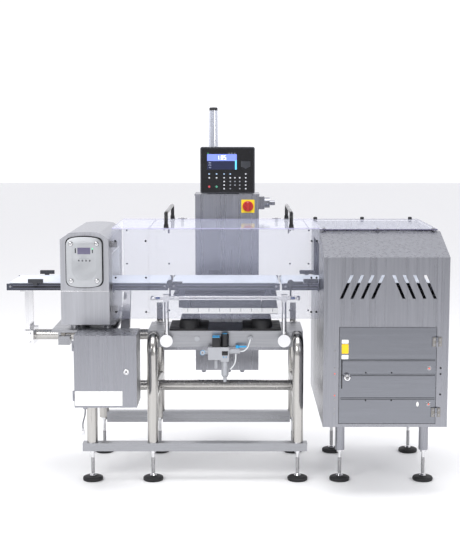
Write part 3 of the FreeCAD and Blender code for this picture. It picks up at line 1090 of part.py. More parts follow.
def make_column():
    """The electrics column behind the line, with its isolator, terminal and beacon."""
    span_z = ("column_bottom", "column_top")
    shell = cut("column_shell", block("column_outer", ("column_left", "column_right"),
                                      ("column_front", "column_back"), span_z),
                block("column_inner", ("column_left + column_wall", "column_right - column_wall"),
                      ("column_front + column_wall", "column_back - column_wall"),
                      ("column_bottom + column_wall", "column_top - column_wall")))
    lip = block("column_lip_top", ("column_left - column_lip", "column_right + column_lip"),
                ("column_front - column_lip", "column_back"), ("column_top - 8", "column_top"))
    bracket_z = ("column_bracket_height", "column_bracket_height + 40")
    rail = block("column_rail", ("left_portal", "right_portal"), ("leg_back - 15", "leg_back + 15"),
                 ("column_bracket_height - 90", "column_bracket_height - 50"))
    arms = [block(f"column_arm_{i}", (x, f"{x} + 40"), ("leg_back + 15", "column_front"),
                  ("column_bracket_height - 90", "column_bracket_height - 50"))
            for i, x in enumerate(("column_left + 30", "column_right - 70"))]
    legs = [rod(f"column_cope_{spot}", "z", (spot, "leg_back"), ("rail_floor", "beam_bottom"), "tube_radius")
            for spot in ("left_portal", "right_portal")]
    socket = [block("socket_base", ("column_right", "column_right + 30"), ("column_front + 60",
                                                                          "column_front + 120"),
                    ("switch_height - 20", "switch_height + 44")),
              rod("socket_body", "x", ("column_front + 90", "switch_height + 12"),
                  ("column_right + 30", "column_right + 57"), 27),
              rod("socket_plug", "x", ("column_front + 90", "switch_height + 12"),
                  ("column_right + 57", "column_right + 84"), 13)]
    plate = block("switch_plate_sheet", ("switch_x - switch_plate / 2", "switch_x + switch_plate / 2"),
                  ("switch_face", "column_front"), ("switch_height - switch_plate / 2",
                                                    "switch_height + switch_plate / 2"))
    glands = [turn(f"column_gland_{i}", [(0, 0), (9, 0), (12, 6), (12, 22), (0, 22)], "z", f"column_left + {x}",
                   "column_front + 60", "column_bottom - 22") for i, x in enumerate((40, 170, 240))]
    node("column_cabinet", fuse("column_body", shell, lip), cut("column_rail_coped", rail, *legs), *arms,
         *socket, plate, *glands)

    node("isolator_knob", turn("isolator_knob_turned", [
        (0, "-knob_reach"), (11, "-knob_reach"), (14, "-knob_reach + 3"), (14, -12), ("knob_radius", -10),
        ("knob_radius", "-running_gap"), (0, "-running_gap")], "y", "switch_x", "switch_face", "switch_height"))

    terminal = extrude("terminal_case", "y", [(0, 0), ("terminal_width", 0), ("terminal_width",
                                                                             "terminal_height"),
                                              (0, "terminal_height")], "terminal_depth", "terminal_left",
                       "terminal_front", "terminal_bottom")
    round_edges(terminal, "y", "terminal_corner")
    neck = block("terminal_neck", ("terminal_left + 80", "terminal_left + 196"),
                 ("terminal_front + 14", "terminal_front + terminal_depth - 10"),
                 ("column_top", "terminal_bottom"))
    node("operator_terminal", terminal, neck)

    node("beacon", turn("beacon_turned", [
        (0, 0), ("beacon_radius + 6", 0), ("beacon_radius + 6", 10), ("beacon_radius", 14),
        ("beacon_radius", "beacon_height * 0.45"), ("beacon_top_radius", "beacon_height * 0.75"),
        ("beacon_top_radius", "beacon_height - 4"), ("beacon_top_radius - 4", "beacon_height"),
        (0, "beacon_height")], "z", "column_centre + beacon_shift", "column_front + beacon_setback",
        "column_top"))


def make_sensors():
    """Twin rods on two posts along the weigh belt, and the photocells beside the belts."""
    pieces = []
    for x in ("left_post", "right_post"):
        hub = rod(f"{x}_hub", "y", (x, "flange_height"), ("rod_y - 20", "beam_front"), "flange_radius")
        post = rod(f"{x}_bar", "z", (x, "rod_y"), ("post_foot", "high_rod_height + rod_collar"), "post_radius")
        collar = block(f"{x}_clamp", (f"{x} - clamp_half", f"{x} + clamp_half"),
                       ("rod_y - clamp_half", "rod_y + clamp_half"), ("low_rod_height - rod_collar",
                                                                      "high_rod_height + rod_collar"))
        pieces += [hub, post, collar]
    rods = [rod(f"sensor_{level}", "x", ("rod_y", level), ("rod_left", "rod_right"), "rod_radius")
            for level in ("low_rod_height", "high_rod_height")]
    node("sensor_rail", fuse("sensor_rail_joined", *pieces, *rods))

    cells = []
    base_z = "rail_top + cell_lift"
    for i, (x, side) in enumerate((("line_left + 104", -1), ("line_left + 104", 1), ("weigh_centre - 84", 1),
                                   ("outfeed_left + 100", -1), ("outfeed_left + 100", 1))):
        near, far = f"({side}) * rail_outer", f"({side}) * (rail_outer + 6 + cell_depth)"
        y = (far, f"({side}) * (rail_outer + 6)") if side < 0 else (f"({side}) * (rail_outer + 6)", far)
        foot_y = (far, near) if side < 0 else (near, far)
        cells.append(fuse(f"photocell_{i}",
                          block(f"cell_{i}", (x, f"{x} + cell_length"), y, (base_z, f"{base_z} + cell_height")),
                          block(f"cell_foot_{i}", (f"{x} + 24", f"{x} + 44"), foot_y, (f"{base_z} - 12", base_z))))
    for i, x in enumerate(("left_post + 18", "right_post + 30")):
        stem = rod(f"eye_stem_{i}", "z", (f"{x}", "rod_y"), ("high_rod_height + rod_radius", "eye_height"), 4)
        ball = rod(f"eye_{i}", "y", (x, "eye_height"), ("rod_y - 14", "rod_y + 6"), "ball_radius")
        lead = rod(f"eye_barrel_{i}", "x", ("rod_y", "eye_height"), (x, f"{x} + 58"), "barrel_radius")
        cells.append(fuse(f"eye_sensor_{i}", stem, ball, lead))
    node("photocells", *cells)


def make_air():
    """The air preparation unit on the beam: valve, regulator with knob, filter bowl and shut-off."""
    deep = ("air_y - air_half_depth", "air_y + air_half_depth")
    bowl_foot = "air_top - regulator_height - bowl_height - bowl_neck"
    valve_left, coil_right = "air_left - valve_width", "air_left - solenoid_inset"
    body = block("regulator_body", ("air_left", "air_right"), deep, ("air_top - regulator_height", "air_top"))
    bowl = turn("filter_bowl", [
        (0, 0), (8, 0), (8, "bowl_neck - 4"), ("bowl_radius * 0.7", "bowl_neck - 2"),
        ("bowl_radius", "bowl_neck + 8"), ("bowl_radius", "bowl_height + bowl_neck"),
        (0, "bowl_height + bowl_neck")], "z", "air_x", "air_y", bowl_foot)
    valve = block("valve_body", (valve_left, "air_left"), deep, ("air_top - valve_height", "air_top"))
    coil = block("valve_coil", (f"{coil_right} - solenoid_width", coil_right), deep,
                 ("air_top", "air_top + solenoid_height"))
    silencer = turn("silencer", [(0, 0), (8, 0), (9, 4), (9, "silencer_length"), (0, "silencer_length")], "z",
                    f"{coil_right} - solenoid_width / 2", "air_y", "air_top - valve_height - silencer_length")
    elbow_height = "air_top - elbow_drop"
    port_x = f"{valve_left} - elbow_reach + elbow_radius"
    elbow = cut("inlet_elbow",
                fuse("inlet_elbow_body",
                     rod("inlet_elbow_run", "x", ("air_y", elbow_height), (port_x, valve_left), "elbow_radius"),
                     rod("inlet_elbow_turn", "y", (port_x, elbow_height), ("air_y - inlet_depth", "air_y"),
                         "elbow_radius")),
                rod("inlet_elbow_bore", "y", (port_x, elbow_height), ("air_y - inlet_depth", "air_y"),
                    "inlet_radius"))
    outlet = rod("outlet_elbow", "x", ("air_y", "air_top - outlet_drop"), ("air_right",
                                                                          "air_right + outlet_reach"),
                 "outlet_radius")
    stem = rod("shutoff_stem", "z", ("air_right + shutoff_shift", "air_y"),
               ("air_top - outlet_drop", "air_top - shutoff_sink"), 5)
    plate = block("air_bracket", (f"{coil_right} - solenoid_width", "air_right"), (deep[1], "beam_front"),
                  ("air_top - 5", "air_top + solenoid_height"))
    tie = block("air_bracket_foot", ("air_left", "air_right"), (deep[1], "beam_front"),
                ("air_top - solenoid_height", "air_top - 5"))
    union = rod("hose_union", "y", ("air_x + union_shift", "flange_height + union_rise"),
                ("beam_front - union_length", "beam_front"), "union_radius")
    plug = rod("beam_plug", "y", ("air_x - plug_shift", "flange_height + union_rise / 2"),
               ("beam_front - 5", "beam_front"), "outlet_radius")
    node("air_unit", fuse("air_unit_body", body, valve, coil, silencer, elbow, outlet, stem, plate, tie), bowl,
         union, plug)

    node("regulator_knob", turn("regulator_knob_turned", [
        (0, "running_gap"), ("air_knob_radius - 3", "running_gap"), ("air_knob_radius", 4),
        ("air_knob_radius", "air_knob_height - 4"), ("air_knob_radius - 4", "air_knob_height"),
        (0, "air_knob_height")], "z", "air_x", "air_y", "air_top"))
    hub = rod("shutoff_hub", "z", ("air_right + shutoff_shift", "air_y"),
              ("air_top - shutoff_sink + running_gap", "air_top + shutoff_sink"), 9)
    blade = block("shutoff_blade", ("air_right + shutoff_shift", "air_right + shutoff_shift + shutoff_length"),
                  ("air_y - 6", "air_y + 6"), ("air_top - shutoff_sink / 2", "air_top + shutoff_sink * 0.6"))
    node("shutoff_lever", fuse("shutoff_lever_joined", hub, blade))


def make_hoses_and_cord():
    """Air hoses held at both ends, and the short cord under the control box."""
    y, top, radius = size("air_y"), size("air_top"), size("hose_radius")
    right = size("air_x") + size("regulator_side") / 2
    mouth = right + size("outlet_reach")
    outlet = (mouth, y, top - size("outlet_drop"))
    reach = size("union_shift") - size("regulator_side") / 2 - size("outlet_reach")
    face = -size("belt_width") / 2 - size("union_length")
    union = (mouth + reach, face, size("flange_height") + size("union_rise"))
    upper = run_pipe("upper_hose", [outlet, (mouth + reach * 0.36, *outlet[1:]),
                                    (mouth + reach * 0.73, y + face * 0.05, outlet[2] * 0.7 + union[2] * 0.3),
                                    (union[0], face * 1.18, union[2]), union], radius)
    fall = size("bowl_height") + size("bowl_neck")
    start = mouth - size("shutoff_shift") / 2
    foot = top - size("outlet_drop") - size("outlet_radius")
    lower = run_pipe("lower_hose", [(start, y, foot), (start, y, foot - fall * 0.26),
                                    (start - 6, y, foot - fall * 0.52), (start - 26, y, foot - fall * 0.76)],
                     radius)
    node("air_hoses", upper, lower)

    x, y, z = size("gland_x"), size("gland_y"), size("box_bottom") - size("gland_length")
    route = [(x, y, z), (x, y, z - 22), (x - 5, y, z - 44), (x - 12, y, z - 66), (x - 12, y, z - 88)]
    node("box_cable", run_pipe("box_cable_tube", route, size("cord_radius")))
    node("box_cable_plug", turn("box_cable_plug_turned", [(0, -33), (7, -33), (7.5, -31), (7.5, -12), (6, -10),
                                                          (6, 0), (0, 0)], "z", *route[-1]))


make_column()
make_sensors()
make_air()
make_hoses_and_cord()


def check_and_write():
    """Stop on any failed feature or empty shape, then write one STEP file for each sub-part."""
    doc.recompute()
    failed = [thing.Name for thing in doc.Objects if {"Invalid", "Error"} & set(thing.State)]
    if failed:
        raise RuntimeError(f"these did not rebuild: {failed}")
    os.makedirs("parts", exist_ok=True)
    for part in NODES:
        if part.Shape.isNull() or not part.Shape.Solids or not part.Shape.isValid():
            raise RuntimeError(f"{part.Label} has no valid shape")
    for part in NODES:
        part.Shape.exportStep(f"parts/{part.Label}.step")
    whole = Part.makeCompound([part.Shape for part in NODES]).BoundBox
    print(f"{len(NODES)} sub-parts, {whole.XLength:.2f} x {whole.YLength:.2f} x {whole.ZLength:.2f} mm")
    print(f"middle {whole.Center.x:.2f}, {whole.Center.y:.2f}; floor {whole.ZMin:.2f}")


check_and_write()
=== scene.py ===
"""Conveyor metal detector with a weigh belt and a reject cabinet, dressed around its CAD frame.

Metres throughout, in the frame's own axes: X along the line, Y away from the operator, Z up.
Each sub-assembly is a class that takes its places from the frame's nodes and adds what the
solids leave out: bends, seams, screws, displays, leads and surface finishes.
"""

import functools
import json
import logging
import math
from dataclasses import dataclass
from enum import Enum
from typing import Callable, Iterable, Sequence

import bmesh
import bpy
from mathutils import Matrix, Vector

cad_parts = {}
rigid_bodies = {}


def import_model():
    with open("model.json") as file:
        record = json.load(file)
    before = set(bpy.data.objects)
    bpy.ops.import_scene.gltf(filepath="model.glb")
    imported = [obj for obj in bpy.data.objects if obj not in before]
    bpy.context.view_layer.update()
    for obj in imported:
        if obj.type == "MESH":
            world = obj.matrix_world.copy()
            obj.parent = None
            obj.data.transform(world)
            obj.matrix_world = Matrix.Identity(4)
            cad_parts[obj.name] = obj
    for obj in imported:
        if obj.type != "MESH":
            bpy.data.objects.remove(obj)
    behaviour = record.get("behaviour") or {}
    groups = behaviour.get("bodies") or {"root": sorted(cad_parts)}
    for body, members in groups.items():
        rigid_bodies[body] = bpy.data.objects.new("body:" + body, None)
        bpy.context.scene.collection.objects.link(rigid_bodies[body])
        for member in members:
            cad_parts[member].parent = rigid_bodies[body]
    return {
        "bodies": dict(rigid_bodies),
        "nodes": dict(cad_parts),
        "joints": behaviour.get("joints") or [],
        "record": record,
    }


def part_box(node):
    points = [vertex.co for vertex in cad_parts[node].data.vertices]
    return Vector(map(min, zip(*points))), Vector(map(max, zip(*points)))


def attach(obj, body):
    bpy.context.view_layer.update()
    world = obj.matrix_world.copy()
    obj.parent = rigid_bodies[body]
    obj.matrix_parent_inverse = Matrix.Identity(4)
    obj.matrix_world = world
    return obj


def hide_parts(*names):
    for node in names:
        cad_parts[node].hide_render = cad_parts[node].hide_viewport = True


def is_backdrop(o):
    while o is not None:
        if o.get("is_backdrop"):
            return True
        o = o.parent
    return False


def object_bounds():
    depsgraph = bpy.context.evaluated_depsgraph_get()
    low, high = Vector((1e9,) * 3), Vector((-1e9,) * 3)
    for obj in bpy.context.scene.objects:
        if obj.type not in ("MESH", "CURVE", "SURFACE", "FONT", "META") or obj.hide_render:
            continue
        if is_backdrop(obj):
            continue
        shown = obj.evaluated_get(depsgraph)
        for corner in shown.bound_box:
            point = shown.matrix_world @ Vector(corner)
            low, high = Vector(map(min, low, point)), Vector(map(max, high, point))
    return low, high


LOG = logging.getLogger("metal_detector")
MM = 0.001
Point = Sequence[float]
Pair = tuple[float, float]


class Axis(Enum):
    """A direction of the frame, with its unit vector."""

    X = (1.0, 0.0, 0.0)
    Y = (0.0, 1.0, 0.0)
    Z = (0.0, 0.0, 1.0)
    FRONT = (0.0, -1.0, 0.0)
    LEFT = (-1.0, 0.0, 0.0)
    DOWN = (0.0, 0.0, -1.0)

    @property
    def vector(self) -> Vector:
        """The axis as a vector."""
        return Vector(self.value)


class Drive(Enum):
    """How a screw head is driven: a hexagon socket, a plain hexagon head, or a slot."""

    SOCKET = "socket"
    HEXAGON = "hexagon"
    SLOT = "slot"


# ---------------------------------------------------------------- finishes


def linear(colour: str) -> tuple[float, float, float, float]:
    """Turns an sRGB hex colour to linear light.

    Args:
        colour: Six hex digits, such as "8a8c90".

    Returns:
        Red, green, blue and an alpha of one.
    """
    parts = [int(colour[i:i + 2], 16) / 255 for i in (0, 2, 4)]
    light = [c / 12.92 if c <= 0.04045 else ((c + 0.055) / 1.055) ** 2.4 for c in parts]
    return light[0], light[1], light[2], 1.0


def add_node(tree: bpy.types.NodeTree, kind: str, settings: dict | None = None,
             links: dict | None = None) -> bpy.types.Node:
    """Adds one shader node with its settings and incoming links.

    Args:
        tree: The node tree to add to.
        kind: The node's type name.
        settings: Node properties by name, or input values by input name or number.
        links: Output sockets by the input that they feed.

    Returns:
        The new node.
    """
    node = tree.nodes.new(kind)
    for key, value in (settings or {}).items():
        if isinstance(key, str) and hasattr(node, key):
            setattr(node, key, value)
        else:
            node.inputs[key].default_value = value
    for key, socket in (links or {}).items():
        tree.links.new(socket, node.inputs[key])
    return node


@dataclass(frozen=True)
class Finish:
    """A plain moulded or painted surface, and the base of every other finish.

    Its fine grain is drawn a few millimetres wide, because the real one is too fine to show.
    """

    name: str
    colour: str
    roughness: float = 0.45
    metallic: float = 0.0
    ior: float = 1.5
    grain_mm: float = 2.0
    relief: float = 0.05
    mottle: float = 0.04
    mottle_mm: float = 60.0
    coat: float = 0.0

    def material(self) -> bpy.types.Material:
        """Returns this finish's material, made once."""
        return material_of(self)

    def stretch(self) -> tuple[float, float, float]:
        """How much longer the grain is along X, Y and Z than across."""
        return 1.0, 1.0, 1.0

    def build(self, tree: bpy.types.NodeTree, shader: bpy.types.Node) -> None:
        """Adds the grain, the cloudy colour and the relief.

        Args:
            tree: The material's node tree.
            shader: Its Principled shader.
        """
        place = add_node(tree, "ShaderNodeTexCoord").outputs["Object"]
        scale = Vector([1 / s for s in self.stretch()])
        drawn = add_node(tree, "ShaderNodeMapping", {"Scale": scale}, {"Vector": place}).outputs["Vector"]
        grain = add_node(tree, "ShaderNodeTexNoise",
                         {"Scale": 1 / (self.grain_mm * MM), "Detail": 3.0, "Roughness": 0.6},
                         {"Vector": drawn}).outputs["Fac"]
        cloud = add_node(tree, "ShaderNodeTexNoise", {"Scale": 1 / (self.mottle_mm * MM), "Detail": 4.0},
                         {"Vector": drawn}).outputs["Fac"]
        self.tint(tree, shader, grain, cloud)
        spread = 0.5 * self.roughness
        rough = add_node(tree, "ShaderNodeMapRange",
                         {"From Min": 0.3, "From Max": 0.7, "To Min": self.roughness - spread / 2,
                          "To Max": self.roughness + spread / 2}, {"Value": cloud}).outputs["Result"]
        tree.links.new(rough, shader.inputs["Roughness"])
        bump = add_node(tree, "ShaderNodeBump", {"Strength": self.relief, "Distance": MM}, {"Height": grain})
        tree.links.new(bump.outputs["Normal"], shader.inputs["Normal"])

    def tint(self, tree: bpy.types.NodeTree, shader: bpy.types.Node, grain: bpy.types.NodeSocket,
             cloud: bpy.types.NodeSocket) -> None:
        """Varies the base colour by the grain and the cloud.

        Args:
            tree: The material's node tree.
            shader: Its Principled shader.
            grain: The fine pattern, 0 to 1.
            cloud: The slow pattern, 0 to 1.
        """
        both = add_node(tree, "ShaderNodeMath", {"operation": "MULTIPLY"}, {0: grain, 1: cloud}).outputs[0]
        base = linear(self.colour)
        dark = tuple(c * (1 - self.mottle) for c in base[:3]) + (1.0,)
        light = tuple(min(1.0, c * (1 + self.mottle)) for c in base[:3]) + (1.0,)
        ramp = add_node(tree, "ShaderNodeValToRGB", {}, {"Fac": both})
        ramp.color_ramp.elements[0].position, ramp.color_ramp.elements[0].color = 0.12, dark
        ramp.color_ramp.elements[1].position, ramp.color_ramp.elements[1].color = 0.42, light
        tree.links.new(ramp.outputs["Color"], shader.inputs["Base Color"])


@functools.cache
def material_of(finish: Finish) -> bpy.types.Material:
    """Makes a finish's material.

    Args:
        finish: The finish to draw.

    Returns:
        A node material named after the finish.
    """
    made = bpy.data.materials.new(finish.name)
    made.use_nodes = True
    tree = made.node_tree
    shader = tree.nodes["Principled BSDF"]
    shader.inputs["Metallic"].default_value = finish.metallic
    shader.inputs["IOR"].default_value = finish.ior
    shader.inputs["Coat Weight"].default_value = finish.coat
    finish.build(tree, shader)
    return made


@dataclass(frozen=True)
class BrushedSheet(Finish):
    """Austenitic stainless sheet, linished with a belt: long fine lines, a soft stretched gloss."""

    lines: Axis = Axis.Z
    metallic: float = 1.0
    roughness: float = 0.3
    grain_mm: float = 1.6
    relief: float = 0.12
    mottle: float = 0.1
    mottle_mm: float = 16.0

    def stretch(self) -> tuple[float, float, float]:
        """The brush lines run 90 times further than they are wide."""
        return tuple(90.0 if abs(c) > 0.5 else 1.0 for c in self.lines.value)


@dataclass(frozen=True)
class ClearSheet(Finish):
    """Polycarbonate sheet: almost clear, glossy, whiter where it is seen at a slant."""

    facing_alpha: float = 0.10
    slant_alpha: float = 0.55
    ior: float = 1.58

    def build(self, tree: bpy.types.NodeTree, shader: bpy.types.Node) -> None:
        """Adds the slanted sheen.

        Args:
            tree: The material's node tree.
            shader: Its Principled shader.
        """
        shader.inputs["Base Color"].default_value = linear(self.colour)
        shader.inputs["Roughness"].default_value = self.roughness
        slant = add_node(tree, "ShaderNodeLayerWeight", {"Blend": 0.25}).outputs["Facing"]
        alpha = add_node(tree, "ShaderNodeMapRange", {"To Min": self.facing_alpha, "To Max": self.slant_alpha},
                         {"Value": slant}).outputs["Result"]
        tree.links.new(alpha, shader.inputs["Alpha"])


@dataclass(frozen=True)
class Glow(Finish):
    """A lit display area, key legend or lamp."""

    power: float = 1.0

    def build(self, tree: bpy.types.NodeTree, shader: bpy.types.Node) -> None:
        """Gives the lit colour to the shader.

        Args:
            tree: The material's node tree.
            shader: Its Principled shader.
        """
        shader.inputs["Base Color"].default_value = linear(self.colour)
        shader.inputs["Emission Color"].default_value = linear(self.colour)
        shader.inputs["Emission Strength"].default_value = self.power
        shader.inputs["Roughness"].default_value = self.roughness


@dataclass(frozen=True)
class WovenBelt(Finish):
    """Polyurethane-coated polyester belting: a fine square weave under a matt skin."""

    pitch_mm: float = 4.0

    def build(self, tree: bpy.types.NodeTree, shader: bpy.types.Node) -> None:
        """Adds the weave over the plain grain; real threads are 0.6 mm and would not show.

        Args:
            tree: The material's node tree.
            shader: Its Principled shader.
        """
        super().build(tree, shader)
        place = add_node(tree, "ShaderNodeTexCoord").outputs["Object"]
        waves = [add_node(tree, "ShaderNodeTexWave",
                          {"bands_direction": way, "Scale": 2 * math.pi / (self.pitch_mm * MM) / 20},
                          {"Vector": place}).outputs["Fac"] for way in ("X", "Y")]
        weave = add_node(tree, "ShaderNodeMath", {"operation": "MULTIPLY"}, {0: waves[0], 1: waves[1]})
        bump = add_node(tree, "ShaderNodeBump", {"Strength": 0.15, "Distance": 0.3 * MM},
                        {"Height": weave.outputs[0]})
        tree.links.new(bump.outputs["Normal"], shader.inputs["Normal"])


class Finishes:
    """Every finish of the machine, by what it is made of."""

    # 304 stainless cladding, brushed upright on walls and along the line on rails
    WALL = BrushedSheet("brushed_stainless_upright", "93949a")
    HEAD = BrushedSheet("brushed_stainless_head", "acadb2", roughness=0.36, relief=0.08)
    DOOR = BrushedSheet("brushed_stainless_door", "7e8086", lines=Axis.X, roughness=0.22)
    LEVEL = BrushedSheet("brushed_stainless_level", "9b9ca0", lines=Axis.X)
    # drawn tube is polished round, so its lines are short and its gloss is broad
    TUBE = BrushedSheet("polished_stainless_tube", "b4b2af", roughness=0.24, relief=0.05, lines=Axis.Y)
    TUBE_UPRIGHT = BrushedSheet("polished_stainless_leg", "b4b2af", roughness=0.22, relief=0.05)
    # bead-blasted stainless of the upper head cover: fine, even and without lines
    BLASTED = Finish("bead_blasted_stainless", "b2b4b7", 0.42, 1.0, grain_mm=1.2, relief=0.08, mottle=0.03)
    CHROME = Finish("polished_stainless_fitting", "d6d6d8", 0.12, 1.0, relief=0.01, mottle=0.03)
    STEEL = Finish("zinc_plated_screw", "9a9a9c", 0.3, 1.0, relief=0.03)
    BLACK_STEEL = Finish("blackened_screw", "1b1b1f", 0.4, 0.6)
    CAST = Finish("cast_stainless_hinge", "8d8a86", 0.45, 1.0, grain_mm=1.5, relief=0.2)
    # near-black painted shade, laid in slots, keyholes, fold creases and round screw heads
    PAINTED_SHADE = Finish("painted_shade", "101114", 0.8)
    RAIL = Finish("charcoal_anodised_rail", "3c3f4a", 0.38, 0.35, relief=0.04, coat=0.1)
    # the rail's own anodising on the slot lips, drawn lighter as a painted highlight
    RAIL_LIP_HIGHLIGHT = Finish("anodised_rail_lip_painted_highlight", "6c7080", 0.35, 0.4)
    BELT = WovenBelt("pale_blue_grey_belt", "d3d9e4", 0.5, mottle=0.03)
    RUBBER = Finish("black_neoprene", "17171a", 0.62, grain_mm=1.2, relief=0.12)
    BLACK = Finish("black_nylon_moulding", "16161a", 0.42, grain_mm=1.0, relief=0.08)
    GLOSS_BLACK = Finish("black_polished_moulding", "0d0d11", 0.18)
    BODY = Finish("charcoal_powder_coat", "2e3036", 0.4, grain_mm=1.4, relief=0.1)
    WHITE = Finish("white_nylon", "e8e8e8", 0.4)
    GREY = Finish("light_grey_die_casting", "a9abb0", 0.4, 0.3)
    PALE = Finish("pale_grey_moulding", "cfd2d8", 0.4)
    RED = Finish("red_switch_knob", "b5201c", 0.3, coat=0.3)
    YELLOW = Finish("yellow_switch_plate", "f2cf1d", 0.4)
    BLUE = Finish("blue_acetal", "2f9fd8", 0.35)
    DARK_BLUE = Finish("navy_acetal", "1d3a6e", 0.4)
    HOSE = Finish("white_polyurethane_hose", "e3e6e8", 0.25, coat=0.3)
    CABLE = Finish("grey_pvc_sheath", "6d6f74", 0.5)
    COPPER = Finish("enamelled_copper_coil", "a3603a", 0.35, 0.9)
    # two sheets in line look grey-white; the sawn and flame-polished edge has a violet tint, drawn dark with painted
    # shade on upright sheets and as a paler painted-light copy on flat sheets
    CLEAR = ClearSheet("clear_polycarbonate", "c3c7dc", 0.06)
    CLEAR_EDGE_SHADED = ClearSheet("polycarbonate_edge_tint_painted_shade", "3a2f5c", 0.25, facing_alpha=0.75, slant_alpha=0.9)
    CLEAR_EDGE_LIT = ClearSheet("polycarbonate_edge_tint_painted_light", "b9b6da", 0.25, facing_alpha=0.45, slant_alpha=0.7)
    SLEEVE = ClearSheet("clear_acrylic_sleeve", "cfd6e8", 0.05, facing_alpha=0.25, slant_alpha=0.75)
    SCREEN_BAND = Glow("display_band", "6d7cc8", 0.2, power=0.75)
    SCREEN = Glow("display_ground", "181d38", 0.2, power=0.5)
    SCREEN_BAR = Glow("display_bar", "58b8e8", 0.2, power=0.8)
    DIGIT = Glow("display_numeral", "f2f4ff", 0.3, power=0.9)
    DIGIT_GREY = Glow("display_row", "9aa0b8", 0.3, power=0.5)
    KEY = Finish("white_key_print", "d8dade", 0.5)
    KEY_BLUE = Finish("pale_blue_key_print", "a9c6e4", 0.5)
    KEY_GREY = Finish("grey_key_print", "8b8e94", 0.5)
    KEY_RED = Finish("red_key_print", "c2474c", 0.5)
    KEY_GREEN = Finish("green_key_print", "4f9d7f", 0.5)
    INK = Finish("black_print", "22232a", 0.6)
    LAMP_GREEN = Glow("green_lamp", "4fd08a", 0.3, power=0.8)
    LAMP_RED = Glow("red_lamp", "e0402c", 0.3, power=0.8)
    HEAD_SCREEN = Glow("violet_display_glass", "5a566c", 0.15, power=0.25)
    PLATE_WHITE = Finish("blank_white_plate", "e9e9e6", 0.5)
    PLATE_YELLOW = Finish("blank_yellow_plate", "f0c419", 0.5)
    FLOOR = Finish("pale_studio_floor", "ffffff", 0.7, relief=0.0, mottle=0.0)


# ---------------------------------------------------------------- shapes

PLANES: dict[Axis, Callable[[float, float, float], Vector]] = {
    Axis.X: lambda u, v, w: Vector((w, u, v)),
    Axis.Y: lambda u, v, w: Vector((u, w, v)),
    Axis.Z: lambda u, v, w: Vector((u, v, w)),
}


def rectangle(left: float, right: float, low: float, high: float) -> list[Pair]:
    """Four corners of an upright rectangle, anticlockwise."""
    return [(left, low), (right, low), (right, high), (left, high)]


def rounded(outline: Sequence[Pair], radius: float, steps: int = 5) -> list[Pair]:
    """Rounds every corner of an outline with an arc-like curve.

    Args:
        outline: Corner points in order.
        radius: How far from each corner its curve starts.
        steps: Points along each curve.

    Returns:
        The rounded outline.
    """
    points = []
    count = len(outline)
    for i, corner in enumerate(outline):
        here = Vector(corner)
        before, after = Vector(outline[i - 1]) - here, Vector(outline[(i + 1) % count]) - here
        start = here + before.normalized() * min(radius, before.length * 0.49)
        end = here + after.normalized() * min(radius, after.length * 0.49)
        pull = 0.45
        for k in range(steps + 1):
            t = k / steps
            a, b = start.lerp(here, 1 - pull), end.lerp(here, 1 - pull)
            point = (start * (1 - t) ** 3 + a * 3 * t * (1 - t) ** 2 + b * 3 * t * t * (1 - t) + end * t ** 3)
            points.append((point.x, point.y))
    return points


def smooth_path(points: Sequence[Point], steps: int = 8) -> list[Vector]:
    """A smooth line through the given points.

    Args:
        points: Where the line passes.
        steps: Divisions of each stretch.

    Returns:
        Points along the line.
    """
    knots = [Vector(p) for p in points]
    if len(knots) < 3:
        return knots
    knots = [knots[0] * 2 - knots[1], *knots, knots[-1] * 2 - knots[-2]]
    line = []
    for i in range(1, len(knots) - 2):
        a, b, c, d = knots[i - 1:i + 3]
        for k in range(steps):
            t = k / steps
            line.append(0.5 * (2 * b + (c - a) * t + (2 * a - 5 * b + 4 * c - d) * t ** 2
                               + (3 * b - a - 3 * c + d) * t ** 3))
    return [*line, knots[-2]]


class Span:
    """The box around one or more frame nodes at rest, in millimetres."""

    def __init__(self, *nodes: str) -> None:
        """Measures the nodes."""
        boxes = [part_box(node) for node in nodes]
        self.low = Vector([min(b[0][i] for b in boxes) for i in range(3)]) / MM
        self.high = Vector([max(b[1][i] for b in boxes) for i in range(3)]) / MM
        self.mid = (self.low + self.high) / 2
        self.size = self.high - self.low
        self.left, self.front, self.bottom = self.low
        self.right, self.back, self.top = self.high


